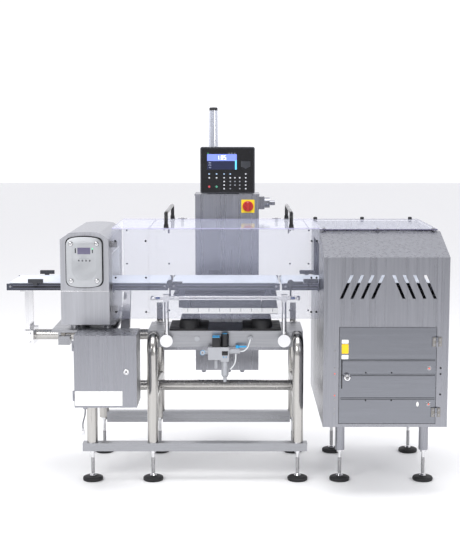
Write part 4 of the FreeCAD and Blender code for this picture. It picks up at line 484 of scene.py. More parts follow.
class Shape:
    """A mesh that grows bit by bit, in millimetres; what is added takes the finish in use."""

    def __init__(self, finish: Finish) -> None:
        """Starts an empty mesh in one finish."""
        self.mesh = bmesh.new()
        self.finishes = [finish]
        self.index = 0

    def use(self, finish: Finish) -> "Shape":
        """Changes the finish of what is added next."""
        if finish not in self.finishes:
            self.finishes.append(finish)
        self.index = self.finishes.index(finish)
        return self

    def settle(self, faces: Iterable[bmesh.types.BMFace], edge: float = 0.0,
               edges: Iterable[bmesh.types.BMEdge] | None = None) -> "Shape":
        """Gives new faces the finish in use, turns them outwards and softens their edges.

        Args:
            faces: The new faces.
            edge: Edge radius, or 0 for none.
            edges: The edges to soften, or None for all.

        Returns:
            This shape.
        """
        faces = list(faces)
        bmesh.ops.recalc_face_normals(self.mesh, faces=faces)
        for face in faces:
            face.material_index = self.index
            face.smooth = True
        if edge > 0:
            chosen = list(edges) if edges is not None else list({e for f in faces for e in f.edges})
            bmesh.ops.bevel(self.mesh, geom=chosen, offset=edge, segments=2, profile=0.6, affect="EDGES",
                            clamp_overlap=True)
        return self

    def block(self, low: Point, high: Point, edge: float = 0.8) -> "Shape":
        """Adds a block with softened edges between two corners."""
        verts = bmesh.ops.create_cube(self.mesh, size=1.0)["verts"]
        low, high = Vector(low), Vector(high)
        for vert in verts:
            vert.co = (low + high) / 2 + vert.co * (high - low)
        return self.settle({f for v in verts for f in v.link_faces}, edge)

    def prism(self, outline: Sequence[Pair], axis: Axis, start: float, end: float,
              edge: float = 0.0) -> "Shape":
        """Adds a solid with one outline all along an axis.

        Args:
            outline: Corners across the axis: (y, z), (x, z) or (x, y).
            axis: X, Y or Z.
            start: Where it begins along the axis.
            end: Where it ends.
            edge: Radius of the edges round its two ends.

        Returns:
            This shape.
        """
        place = PLANES[axis]
        ends = [[self.mesh.verts.new(place(u, v, w)) for u, v in outline] for w in (start, end)]
        faces = [self.mesh.faces.new(ring) for ring in ends]
        rims = [e for f in faces for e in f.edges]
        count = len(outline)
        faces += [self.mesh.faces.new((ends[0][i], ends[0][(i + 1) % count], ends[1][(i + 1) % count],
                                       ends[1][i])) for i in range(count)]
        return self.settle(faces, edge, rims)

    def collar(self, outer: Sequence[Pair], inner: Sequence[Pair], axis: Axis, start: float,
               end: float) -> "Shape":
        """Adds a closed rim between two outlines of equally many points.

        Args:
            outer: Outer outline.
            inner: Inner outline.
            axis: X, Y or Z.
            start: Where it begins along the axis.
            end: Where it ends.

        Returns:
            This shape.
        """
        place = PLANES[axis]
        rings = [[self.mesh.verts.new(place(u, v, w)) for u, v in line]
                 for line, w in ((outer, start), (outer, end), (inner, end), (inner, start))]
        count = len(outer)
        faces = [self.mesh.faces.new((rings[k][i], rings[k][(i + 1) % count],
                                      rings[(k + 1) % 4][(i + 1) % count], rings[(k + 1) % 4][i]))
                 for k in range(4) for i in range(count)]
        return self.settle(faces)

    def lathe(self, profile: Sequence[tuple], at: Point, axis: Axis = Axis.Z, segments: int = 24,
              turn: float = 1.0) -> "Shape":
        """Adds a turned form.

        Args:
            profile: (radius, height) pairs; a third True makes that ring a hexagon.
            at: Where height 0 of the axis is.
            axis: The direction of height.
            segments: Points round the form.
            turn: The share of a full turn.

        Returns:
            This shape.
        """
        frame = axis.vector.to_track_quat("Z", "Y").to_matrix()
        centre = Vector(at)
        rings = []
        steps = segments if turn == 1.0 else segments + 1
        for radius, height, *hexagon in profile:
            ring = []
            for k in range(1 if radius == 0 else steps):
                angle = 2 * math.pi * turn * k / segments
                reach = radius
                if hexagon:
                    reach *= math.cos(math.pi / 6) / math.cos(angle % (math.pi / 3) - math.pi / 6)
                spot = Vector((reach * math.cos(angle), reach * math.sin(angle), height))
                ring.append(self.mesh.verts.new(centre + frame @ spot))
            rings.append(ring)
        faces = []
        for a, b in zip(rings, rings[1:]):
            for k in range(segments):
                n = (k + 1) % steps
                corners = [a[k % len(a)], a[n % len(a)], b[n % len(b)], b[k % len(b)]]
                corners = list(dict.fromkeys(corners))
                if len(corners) > 2:
                    faces.append(self.mesh.faces.new(corners))
        return self.settle(faces)

    def pipe(self, points: Sequence[Point], radius: float, segments: int = 12, steps: int = 6) -> "Shape":
        """Adds a round bar or hose along a smooth line.

        Args:
            points: Where its middle passes.
            radius: Its radius.
            segments: Points round it.
            steps: Divisions of each stretch.

        Returns:
            This shape.
        """
        line = smooth_path(points, steps)
        ahead = (line[1] - line[0]).normalized()
        side = ahead.orthogonal().normalized()
        rings = []
        for i, point in enumerate(line):
            nearby = line[min(i + 1, len(line) - 1)] - line[max(i - 1, 0)]
            turn = ahead.rotation_difference(nearby.normalized())
            side = (turn @ side).normalized()
            ahead = nearby.normalized()
            across = ahead.cross(side)
            rings.append([self.mesh.verts.new(point + radius * (math.cos(a) * side + math.sin(a) * across))
                          for a in (2 * math.pi * k / segments for k in range(segments))])
        faces = [self.mesh.faces.new((a[k], a[(k + 1) % segments], b[(k + 1) % segments], b[k]))
                 for a, b in zip(rings, rings[1:]) for k in range(segments)]
        faces += [self.mesh.faces.new(rings[0]), self.mesh.faces.new(rings[-1])]
        return self.settle(faces)

    def screw(self, at: Point, axis: Axis, radius: float, height: float,
              drive: Drive = Drive.SOCKET) -> "Shape":
        """Adds a screw head that stands on a face.

        Args:
            at: Where its axis meets the face.
            axis: The way that it points out of the face.
            radius: Head radius.
            height: Head height.
            drive: How it is turned.

        Returns:
            This shape.
        """
        if drive is Drive.HEXAGON:
            washer = radius * 1.25
            return self.lathe([(0, 0), (washer, 0), (washer, height * 0.25), (radius, height * 0.25, True),
                               (radius, height * 0.9, True), (radius * 0.86, height), (0, height)], at, axis)
        recess = radius * 0.5
        self.lathe([(0, 0), (radius, 0), (radius, height * 0.8), (radius * 0.86, height),
                    (recess, height, True), (recess * 0.98, height * 0.45, True), (0, height * 0.4)], at, axis)
        if drive is Drive.SLOT:
            tip = Vector(at) + axis.vector * height
            reach = Vector((radius * 0.8, radius * 0.8, radius * 0.8)) - abs_vector(axis) * radius * 0.8
            reach.x = radius * 0.14 if axis not in (Axis.X, Axis.LEFT) else reach.x
            self.block(tip - reach - abs_vector(axis) * 0.1, tip + reach + abs_vector(axis) * 0.1, 0)
        return self

    def digits(self, text: str, left: float, front: float, low: float, height: float) -> "Shape":
        """Adds seven-bar numerals that face the operator.

        Args:
            text: Numerals and decimal points.
            left: X of the first numeral.
            front: Y of the face that they lie on.
            low: Z of their feet.
            height: Numeral height.

        Returns:
            This shape.
        """
        lit = {"0": "abcdef", "1": "bc", "2": "abged", "3": "abgcd", "4": "fgbc", "5": "afgcd", "6": "afgedc",
               "7": "abc", "8": "abcdefg", "9": "abcdfg"}
        wide, bar = height * 0.55, height * 0.13
        half = height / 2
        bars = {"a": (0, wide, height - bar, height), "b": (wide - bar, wide, half, height),
                "c": (wide - bar, wide, 0, half), "d": (0, wide, 0, bar), "e": (0, bar, 0, half),
                "f": (0, bar, half, height), "g": (0, wide, half - bar / 2, half + bar / 2)}
        for sign in text:
            if sign == ".":
                self.block((left, front - 0.3, low), (left + bar, front, low + bar), 0)
                left += bar * 2.2
                continue
            for name in lit.get(sign, ""):
                x0, x1, z0, z1 = bars[name]
                self.block((left + x0, front - 0.3, low + z0), (left + x1, front, low + z1), 0)
            left += wide * 1.35
        return self

    def piece(self, name: str, body: str, slot: str, *nodes: str) -> bpy.types.Object:
        """Makes the finished piece and hands it to the frame.

        Args:
            name: The piece's name.
            body: The body that it rides on.
            slot: Not used.
            nodes: The frame nodes that it stands for.

        Returns:
            The new object.
        """
        bmesh.ops.scale(self.mesh, vec=(MM, MM, MM), verts=self.mesh.verts)
        data = bpy.data.meshes.new(name)
        self.mesh.to_mesh(data)
        self.mesh.free()
        data.set_sharp_from_angle(angle=math.radians(38))
        for finish in self.finishes:
            data.materials.append(finish.material())
        made = bpy.data.objects.new(name, data)
        bpy.context.scene.collection.objects.link(made)
        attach(made, body)
        if nodes:
            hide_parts(*nodes)
        return made


def abs_vector(axis: Axis) -> Vector:
    """The axis with every component positive."""
    return Vector([abs(c) for c in axis.value])




# ---------------------------------------------------------------- the studio


@dataclass
class Studio:
    """A pale floor, soft white surroundings, three soft lights and the camera."""

    camera_at: tuple[float, float, float] = (0.0785, -5.750, 1.65055)
    tilt_degrees: float = 82.97
    lens_mm: float = 78.55
    shift: float = -8 / 550
    front_tone: float = 0.6
    back_tone: float = 1.12

    def build(self) -> None:
        """Makes the floor, the surroundings, the lights and the camera."""
        self.floor()
        self.surroundings()
        for name, place, aim, size, power in (
                ("key_softbox", (-2.6, -4.6, 3.4), (0, 0, 0.8), 2.4, 130),
                ("fill_softbox", (3.4, -3.6, 2.4), (0.4, 0, 0.7), 2.0, 60),
                ("top_softbox", (0.0, -0.4, 4.4), (0, 0, 0), 3.0, 110)):
            self.softbox(name, Vector(place), Vector(aim), size, power)
        data = bpy.data.cameras.new("camera")
        data.lens, data.sensor_width, data.shift_x = self.lens_mm, 36.0, self.shift
        data.clip_end = 100
        camera = bpy.data.objects.new("camera", data)
        camera.location = self.camera_at
        camera.rotation_euler = (math.radians(self.tilt_degrees), 0, 0)
        bpy.context.scene.collection.objects.link(camera)
        bpy.context.scene.camera = camera

    def floor(self) -> None:
        """Lays a wide pale floor."""
        mesh = bmesh.new()
        bmesh.ops.create_grid(mesh, x_segments=1, y_segments=1, size=30)
        data = bpy.data.meshes.new("floor")
        mesh.to_mesh(data)
        mesh.free()
        data.materials.append(Finishes.FLOOR.material())
        floor = bpy.data.objects.new("floor", data)
        bpy.context.scene.collection.objects.link(floor)
        floor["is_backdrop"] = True

    def surroundings(self) -> None:
        """White walls, a little darker in front, so that the steel has tones to mirror."""
        world = bpy.data.worlds.new("studio")
        world.use_nodes = True
        bpy.context.scene.world = world
        tree = world.node_tree
        ground = tree.nodes["Background"]
        way = add_node(tree, "ShaderNodeTexCoord").outputs["Generated"]
        parts = add_node(tree, "ShaderNodeSeparateXYZ", {}, {"Vector": way})
        depth = add_node(tree, "ShaderNodeMapRange",
                         {"interpolation_type": "SMOOTHSTEP", "From Min": -0.6, "From Max": 0.5,
                          "To Min": self.front_tone, "To Max": self.back_tone},
                         {"Value": parts.outputs["Y"]})
        tree.links.new(depth.outputs["Result"], ground.inputs["Strength"])
        ground.inputs["Color"].default_value = linear("fbfbff")

    def softbox(self, name: str, place: Vector, aim: Vector, size: float, power: float) -> None:
        """Adds a square area light.

        Args:
            name: Its name.
            place: Where it stands.
            aim: What it points at.
            size: Side length.
            power: Watts.
        """
        data = bpy.data.lights.new(name, "AREA")
        data.size, data.energy = size, power
        light = bpy.data.objects.new(name, data)
        light.location = place
        light.rotation_euler = (aim - place).to_track_quat("-Z", "Y").to_euler()
        bpy.context.scene.collection.objects.link(light)


# ---------------------------------------------------------------- sub-assemblies


@dataclass
class SubAssembly:
    """What every sub-assembly shares: the frame, its body and a way to finish its nodes."""

    frame: dict
    body: str = "stand"

    def dress(self, finish: Finish, *nodes: str) -> None:
        """Gives frame nodes a finish.

        Args:
            finish: The finish.
            nodes: Node names.
        """
        for node in nodes:
            for slot in self.frame["nodes"][node].material_slots:
                slot.material = finish.material()

    def build(self) -> None:
        """Builds and dresses the sub-assembly."""
        raise NotImplementedError


@dataclass
class Stand(SubAssembly):
    """The welded tube stand on its levelling feet."""

    tube: float = 25.4
    bead: float = 2.2
    pad: float = 47.5
    thread_pitch: float = 4.0

    def build(self) -> None:
        """Dresses the tubes and adds weld beads and feet."""
        self.dress(Finishes.LEVEL, "table_beam", "foot_rails")
        self.dress(Finishes.TUBE_UPRIGHT, "main_portals", "infeed_portal")
        self.dress(Finishes.TUBE, "spine_tube", "lower_stretcher")
        self.welds()
        self.feet()

    def legs(self) -> list[tuple[float, float]]:
        """Where the six round legs stand, as (x, y)."""
        main, infeed = Span("main_portals"), Span("infeed_portal")
        xs = (infeed.mid.x, main.left + self.tube, main.right - self.tube)
        return [(x, y) for x in xs for y in (main.front + self.tube, main.back - self.tube)]

    def welds(self) -> None:
        """Small fillet welds where the legs and cross tubes meet."""
        beads = Shape(Finishes.STEEL)
        bead = self.bead
        rail_top = Span("foot_rails").top
        ring = [(self.tube, 0), (self.tube + bead, 0.2), (self.tube + bead * 0.8, bead * 0.7),
                (self.tube, bead * 1.4)]
        beam = Span("table_beam")
        for x, y in self.legs():
            if y < 0:
                beads.lathe(ring, (x, y, 182.0), Axis.Z)
        main = Span("main_portals")
        for x in (main.left + self.tube, main.right - self.tube):
            beads.lathe(ring, (x, beam.front, main.top - self.tube), Axis.FRONT)
            beads.lathe(ring, (x, beam.back, main.top - self.tube), Axis.Y)
        beads.piece("stand_weld_beads", self.body, "satin_stainless")
        LOG.debug("rail top %.1f", rail_top)

    def feet(self) -> None:
        """Rounded rubber pads with a steel cup, and threaded spindles, over the plain solids."""
        spots = [(x, y) for x, y in self.legs()]
        cabinet = Span("cabinet_housing")
        spots += [(x, y) for x in (cabinet.left + 101, cabinet.right - 60) for y in (-250.0, 250.0)]
        pads = Shape(Finishes.RUBBER)
        r = self.pad
        for x, y in spots:
            pads.use(Finishes.RUBBER).lathe([(r - 8, 4), (r - 8, 0.2), (r - 3.5, 0.2), (r - 1, 1.8), (r, 6),
                                             (r, 12), (r - 2, 16), (r - 7, 18.5), (r - 16, 19.5),
                                             (20, 20.5), (18, 22.6), (0, 22.6)], (x, y, 0), segments=40)
            pads.lathe([(r - 8, 4), (0, 4)], (x, y, 0), segments=40)
            pads.use(Finishes.CHROME).lathe([(0, 22), (15.5, 22), (15.5, 23.6), (9.6, 30), (8.6, 31), (0, 31)],
                                            (x, y, 0))
        pads.piece("foot_pads_moulded", self.body, "black_rubber", "foot_pads")
        self.dress(Finishes.CHROME, "foot_spindles")
        threads = Shape(Finishes.STEEL)
        for x, y in spots:
            start, stop = 34.0, 110.0
            profile = []
            for k in range(int((stop - start) / self.thread_pitch)):
                low = start + k * self.thread_pitch
                profile += [(8.05, low), (8.6, low + self.thread_pitch / 2)]
            threads.lathe([(0, start), *profile, (8.05, stop), (0, stop)], (x, y, 0), segments=16)
        threads.piece("foot_spindle_threads", self.body, "polished_steel")


@dataclass
class ConveyorLine(SubAssembly):
    """Infeed, weigh and outfeed belts with their rails, rollers and drives."""

    nose: float = 15.0

    def build(self) -> None:
        """Dresses the belts, rails, rollers and motors, and adds the rail lips."""
        for name in ("infeed", "weigh", "outfeed"):
            self.dress(Finishes.BELT, f"{name}_belt")
            self.dress(Finishes.RAIL, f"{name}_frame")
            self.dress(Finishes.LEVEL, f"{name}_tail_roller", f"{name}_drive_roller")
            self.rail(name)
        self.dress(Finishes.BODY, "conveyor_motors")

    def rail(self, name: str) -> None:
        """Adds the lip lines and the slot line along both rails.

        Args:
            name: Which conveyor.
        """
        span = Span(f"{name}_frame")
        lips = Shape(Finishes.RAIL_LIP_HIGHLIGHT)
        middle = span.bottom + span.size.z * 0.5
        for side, y in ((-1, span.front), (1, span.back)):
            inner, outer = sorted((y - side * 0.6, y + side * 0.8))
            # the two lip lines are painted highlight on the slot's edges
            lips.use(Finishes.RAIL_LIP_HIGHLIGHT)
            for z in (middle - 6.5, middle + 4.5):
                lips.block((span.left + self.nose * 2, inner, z), (span.right - self.nose * 2, outer, z + 2), 0.3)
            # painted shade: a near-black strip down the slot between the lips
            lips.use(Finishes.PAINTED_SHADE).block((span.left + self.nose * 2, inner, middle - 4.2),
                                          (span.right - self.nose * 2, outer - 0.5 * side if side > 0 else outer,
                                           middle + 4.2), 0)
        lips.piece(f"{name}_rail_lips", self.body, "charcoal_rail")


@dataclass
class DetectorHead(SubAssembly):
    """The search head: blasted cover over a brushed lower case, with its operator panel."""

    seam: float = 905.0
    cover: float = 3.0
    screw_radius: float = 9.0

    def build(self) -> None:
        """Builds the panel and its screws, keys and display; dresses the case."""
        self.dress(Finishes.HEAD, "head_case")
        self.dress(Finishes.WHITE, "aperture_liner")
        self.dress(Finishes.COPPER, "search_coils")
        self.dress(Finishes.RUBBER, "panel_gasket")
        self.dress(Finishes.LEVEL, "head_mount")
        self.panel()
        self.seam_line()
        self.lever()

    def bowed(self, left: float, right: float, low: float, high: float, bow: float,
              radius: float) -> list[Pair]:
        """A panel outline whose top and bottom bow outwards between rounded corners.

        Args:
            left: Left side.
            right: Right side.
            low: Corner height at the bottom.
            high: Corner height at the top.
            bow: How far the middle stands out.
            radius: Corner radius.

        Returns:
            The outline, anticlockwise from its lower left.
        """
        middle = (left + right) / 2
        flat = (right - left) * 0.22
        return rounded([(left, low), (middle - flat, low - bow), (middle + flat, low - bow), (right, low),
                        (right, high), (middle + flat, high + bow), (middle - flat, high + bow),
                        (left, high)], radius)

    def panel(self) -> None:
        """The bowed panel: a raised rim, a stepped recess with chamfered feet, keys and display."""
        span = Span("head_panel")
        face = span.front
        bow = 12.0
        left, right, low, high = span.left, span.right, span.bottom + bow, span.top - bow
        outer = self.bowed(left, right, low, high, bow, 22)
        inner = self.bowed(left + 3, right - 3, low + 2, high - 2, bow, 20)
        mid = span.mid.x
        half, foot = 56.0, 26.0
        z0, z1 = span.bottom + 32, span.top - 27
        step = rounded([(mid - half + foot, z0), (mid + half - foot, z0), (mid + half, z0 + foot * 1.3),
                        (mid + half, z1 - 8), (mid + half * 0.75, z1), (mid - half * 0.75, z1),
                        (mid - half, z1 - 8), (mid - half, z0 + foot * 1.3)], 9)
        panel = Shape(Finishes.BLASTED)
        panel.prism(outer, Axis.Y, face + 2.2, span.back, 1.0)
        panel.prism(inner, Axis.Y, face + 0.4, face + 2.6, 1.2)
        lip = [(mid + (u - mid) * 0.945, span.mid.z + (v - span.mid.z) * 0.965) for u, v in step]
        panel.collar(step, lip, Axis.Y, face - 0.4, face + 1)
        panel.use(Finishes.BLASTED).prism(lip, Axis.Y, face + 0.1, face + 0.6)
        for x in (span.left + 22, span.right - 22):
            for z in (span.bottom + 30, span.top - 30):
                # a dark ring of painted shade round each screw head
                panel.use(Finishes.PAINTED_SHADE).lathe([(0, 0), (self.screw_radius + 1.6, 0),
                                                (self.screw_radius + 1.6, 0.8), (0, 0.8)],
                                               (x, face + 0.2, z), Axis.FRONT)
                panel.use(Finishes.CHROME).screw((x, face + 0.2, z), Axis.FRONT, self.screw_radius, 3.6)
        self.controls(panel, mid, face, z0, z1)
        panel.piece("head_panel_pressed", self.body, "satin_stainless", "head_panel")

    def controls(self, panel: Shape, mid: float, face: float, low: float, high: float) -> None:
        """Adds the display, bars, keys and lamp to the panel.

        Args:
            panel: The panel.
            mid: X of its middle.
            face: Y of its face.
            low: Foot of the recess.
            high: Top of the recess.
        """
        front = face - 0.3
        top = high - 20
        panel.use(Finishes.HEAD_SCREEN).block((mid - 29, front - 0.5, top - 31), (mid + 30, face + 0.4, top), 0.4)
        for x0, x1 in ((mid - 41, mid - 35), (mid + 37, mid + 42)):
            panel.use(Finishes.INK).block((x0, front, top - 26), (x1, face + 0.4, top - 3), 0.3)
        panel.use(Finishes.LAMP_GREEN).block((mid + 37, front - 0.4, top - 9), (mid + 42, front + 0.2, top - 3), 0)
        panel.use(Finishes.INK)
        keys_z = top - 64
        for k in range(4):
            x = mid - 27 + k * 16.5
            panel.block((x, front, keys_z), (x + 7.5, face + 0.4, keys_z + 8.5), 0.3)
            panel.use(Finishes.PALE).block((x + 2.2 + k % 2, front - 0.1, keys_z + 2 + k), (x + 4.6, front + 0.1,
                                                                                       keys_z + 3.8 + k), 0)
            panel.use(Finishes.INK)
        for k, width in enumerate((24, 44)):
            panel.use(Finishes.KEY_GREY).block((mid - width / 2, front + 0.1, top - 44 - k * 6),
                                               (mid + width / 2, face + 0.4, top - 42.6 - k * 6), 0)
        panel.use(Finishes.BLASTED).prism(rounded(rectangle(mid - 15, mid + 17, low + 17, low + 26), 4),
                                          Axis.Y, front, face + 0.4)

    def seam_line(self) -> None:
        """The folded lower edge of the cover, front and back."""
        span = Span("head_case")
        line = Shape(Finishes.CHROME)
        for y0, y1 in ((span.front - 0.4, span.front + 2), (span.back - 2, span.back + 0.4)):
            line.block((span.left + 1, y0, self.seam - 1.4), (span.right - 1, y1, self.seam + 1.4), 0.4)
        line.piece("head_cover_seam", self.body, "satin_stainless")

    def lever(self) -> None:
        """Dresses the clamp lever under the head."""
        self.dress(Finishes.CAST, "clamp_lever")


@dataclass
class ControlBox(SubAssembly):
    """The wall box on the stand, its hinged door, lock, bare plate and short data cable."""

    plate_width: float = 212.0
    plate_height: float = 66.0
    cable_radius: float = 3.5

    def build(self) -> None:
        """Dresses the box and door, and adds the plate, lock face and cable."""
        self.dress(Finishes.WALL, "control_box", "control_box_door")
        door = Span("control_box_door")
        trim = Shape(Finishes.PLATE_WHITE)
        left = door.left + 14
        low = door.bottom + 9
        trim.block((left, door.front - 0.5, low), (left + self.plate_width, door.front + 0.2,
                                                  low + self.plate_height), 0.15)
        trim.piece("control_box_blank_plate", "control_box_door_body", "brushed_stainless")
        self.lock()
        self.cable()

    def lock(self) -> None:
        """A quarter-turn lock with a keyhole insert."""
        span = Span("box_lock")
        x, z, face = span.mid.x, span.mid.z, span.front
        r = span.size.x / 2
        lock = Shape(Finishes.CHROME)
        lock.lathe([(0, -1), (r, -1), (r, 5), (r - 1.5, 7.5), (r * 0.72, 8.6), (r * 0.62, 8.2), (r * 0.6, 7.0),
                    (0, 7.0)], (x, face + 9, z), Axis.FRONT, 32)
        # painted shade in the keyhole: a near-black disc
        lock.use(Finishes.PAINTED_SHADE).lathe([(0, 0), (4.6, 0), (4.6, 0.5), (0, 0.5)], (x, face + 2.1, z), Axis.FRONT)
        lock.use(Finishes.CHROME).block((x - 4.2, face + 0.9, z - 1.1), (x + 4.2, face + 2, z + 1.1), 0.3)
        lock.lathe([(0, 0), (r * 0.55, 0), (r * 0.55, span.size.y - 9.4), (0, span.size.y - 9.4)],
                   (x, face + 9.2, z), Axis.Y)
        lock.piece("box_lock_turned", "box_lock_body", "polished_steel", "box_lock")

    def cable(self) -> None:
        """The hanging data cable: 88 mm on a 7 mm sheath, from the gland to its plug."""
        box = Span("control_box")
        plug_at = Span("box_cable_plug")
        x, y, z = -620.0, -380.0, box.low.z
        route = [(x, y, z), (x, y, z - 22), (x - 5, y, z - 44), (x - 12, y, z - 66), (x - 12, y, z - 88)]
        curve = bpy.data.curves.new("box_cable_sheath", "CURVE")
        curve.dimensions = "3D"
        line = curve.splines.new("NURBS")
        line.points.add(len(route) - 1)
        for point, spot in zip(line.points, route):
            point.co = (*(c * MM for c in spot), 1.0)
        line.order_u = 3
        line.use_endpoint_u = True
        line.resolution_u = 12
        curve.bevel_depth = self.cable_radius * MM
        curve.bevel_resolution = 4
        curve.use_fill_caps = True
        curve.materials.append(Finishes.CABLE.material())
        cable = bpy.data.objects.new("box_cable_sheath", curve)
        bpy.context.scene.collection.objects.link(cable)
        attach(cable, self.body)
        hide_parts("box_cable")
        px, py, top = plug_at.mid.x, plug_at.mid.y, plug_at.top
        plug = Shape(Finishes.CHROME)
        plug.lathe([(0, 0), (5.6, 0), (6, -1), (6, -9), (7.4, -10.5)] +
                   [(7.5 if k % 2 else 7.0, -11 - k * 1.6) for k in range(12)] +
                   [(7.0, -31), (6.4, -33), (5.2, -33), (5.2, -29), (0, -29)], (px, py, top), Axis.Z)
        plug.use(Finishes.BLACK).lathe([(0, -29.2), (5, -29.2), (5, -28), (0, -28)], (px, py, top - 1), Axis.Z)
        made = plug.piece("box_cable_plug_knurled", self.body, "polished_steel", "box_cable_plug")


@dataclass
class Guards(SubAssembly):
    """Clear polycarbonate guards: fixed tunnel, hinged lid, hinges, handles and cap screws."""

    sheet: float = 6.0
    edge: float = 1.2
    grip: float = 10.0

    def build(self) -> None:
        """Builds the sheets with their violet edges, the handles and the screws."""
        self.sheets()
        self.handles()
        self.dress(Finishes.STEEL, "guard_brackets")
        self.screws()

    def pane(self, shape: Shape, low: Point, high: Point, thin: int) -> None:
        """Adds one sheet whose narrow faces take the edge tint: with painted shade on an upright sheet, with painted
        light on a flat one.

        Args:
            shape: The shape to add to.
            low: Lowest corner.
            high: Highest corner.
            thin: Which of X, Y, Z is the sheet's thickness.
        """
        before = set(shape.mesh.faces)
        shape.use(Finishes.CLEAR).block(low, high, 0)
        for face in set(shape.mesh.faces) - before:
            # upright sheets' edges take the painted-shade copy of the edge tint, flat sheets' edges the painted-light
            # copy
            if abs(face.normal[thin]) < 0.5:
                shape.use(Finishes.CLEAR_EDGE_SHADED if abs(face.normal.z) > 0.5 or thin == 1 else
                          Finishes.CLEAR_EDGE_LIT)
                face.material_index = shape.index
        shape.use(Finishes.CLEAR)

    def sheets(self) -> None:
        """Replaces the tunnel and the lid by panes from the same boxes."""
        whole, lid, cabinet = Span("guard_tunnel"), Span("guard_lid"), Span("cabinet_housing")
        t = self.sheet
        head = Span("head_case")
        tunnel = Shape(Finishes.CLEAR)
        rear = 682.0
        bottom = 768.0
        top = whole.top
        self.pane(tunnel, (whole.left, whole.front, bottom), (lid.left - 2, whole.front + t, top - t), 1)
        self.pane(tunnel, (lid.right + 2, whole.front, bottom), (whole.right, whole.front + t, top - t), 1)
        self.pane(tunnel, (whole.left, whole.back - t, rear), (lid.left - 2, whole.back, top - t), 1)
        self.pane(tunnel, (lid.left - 2, whole.back - t, rear), (whole.right, whole.back, top - t), 1)
        self.pane(tunnel, (whole.left, whole.front, top - t), (lid.left - 2, whole.back, top), 2)
        self.pane(tunnel, (lid.right + 2, whole.front, top - t), (whole.right, whole.back, top), 2)
        tunnel.piece("guard_tunnel_panes", self.body, "clear_sheet", "guard_tunnel")
        pane = Shape(Finishes.CLEAR)
        self.pane(pane, (lid.left, lid.front, lid.bottom), (lid.right, lid.front + t, lid.top - t), 1)
        self.pane(pane, (lid.left, lid.front, lid.top - t), (lid.right, lid.back, lid.top), 2)
        pane.piece("guard_lid_panes", "guard_lid_body", "clear_sheet", "guard_lid")
        LOG.debug("guards between %.0f and %.0f", head.right, cabinet.left)

    def handles(self) -> None:
        """Two bowed black handles on chromed feet."""
        span = Span("lid_handles")
        shape = Shape(Finishes.GLOSS_BLACK)
        for x in (span.left + self.grip * 1.35, span.right - self.grip * 1.35):
            y0, y1, low, top = span.front + 12, span.back - 12, span.bottom, span.top - self.grip
            shape.use(Finishes.GLOSS_BLACK).pipe(
                [(x, y0, low + 10), (x, y0, low + 30), (x, y0 + 4, top - 12), (x, y0 + 18, top),
                 (x, (y0 + y1) / 2, top + 0.5), (x, y1 - 18, top), (x, y1 - 4, top - 12), (x, y1, low + 30),
                 (x, y1, low + 10)], self.grip * 0.86, 16)
            for y in (y0, y1):
                shape.use(Finishes.GLOSS_BLACK).lathe([(0, 6), (11, 6), (11.5, 8), (10.5, 22), (0, 22)],
                                                      (x, y, low))
                shape.use(Finishes.CHROME).block((x - 13, y - 12, low), (x + 13, y + 12, low + 7), 1)
        shape.piece("lid_handles_moulded", "guard_lid_body", "black_plastic", "lid_handles")

    def screws(self) -> None:
        """Blackened cap screws along the sheet joints, with small steel brackets."""
        whole, lid = Span("guard_tunnel"), Span("guard_lid")
        fixed, moving = Shape(Finishes.BLACK_STEEL), Shape(Finishes.CHROME)
        for x in (whole.left + 16, lid.left - 14):
            for z in (whole.top - 60, 960.0, 800.0):
                fixed.screw((x, whole.front, z), Axis.FRONT, 4.6, 4)
        for x in (whole.left + 16, lid.left + 60, lid.right - 60, whole.right - 16):
            for z in (whole.top - 60, 960.0, 720.0):
                fixed.screw((x, whole.back, z), Axis.Y, 4.6, 4)
        for x in (lid.right + 14, whole.right - 12):
            for z in (whole.top - 60, 960.0, 800.0):
                fixed.screw((x, whole.front, z), Axis.FRONT, 4.6, 4)
        fixed.piece("guard_cap_screws", self.body, "satin_stainless")
        handles = Span("lid_handles")
        for x in (handles.left + self.grip * 1.35, handles.right - self.grip * 1.35):
            for dx in (-8, 8):
                moving.lathe([(0, 0), (5, 0), (5, 3), (3, 6), (0, 6)], (x + dx, lid.front + 8, lid.top - 6), Axis.DOWN)
        moving.use(Finishes.CLEAR_EDGE_SHADED)
        for x in (lid.left + 92, lid.right - 92):
            moving.block((x - 4, lid.front + 6, lid.top - 26), (x + 4, lid.front + 14, lid.top - 6), 1)
        moving.piece("guard_lid_fittings", "guard_lid_body", "polished_steel")


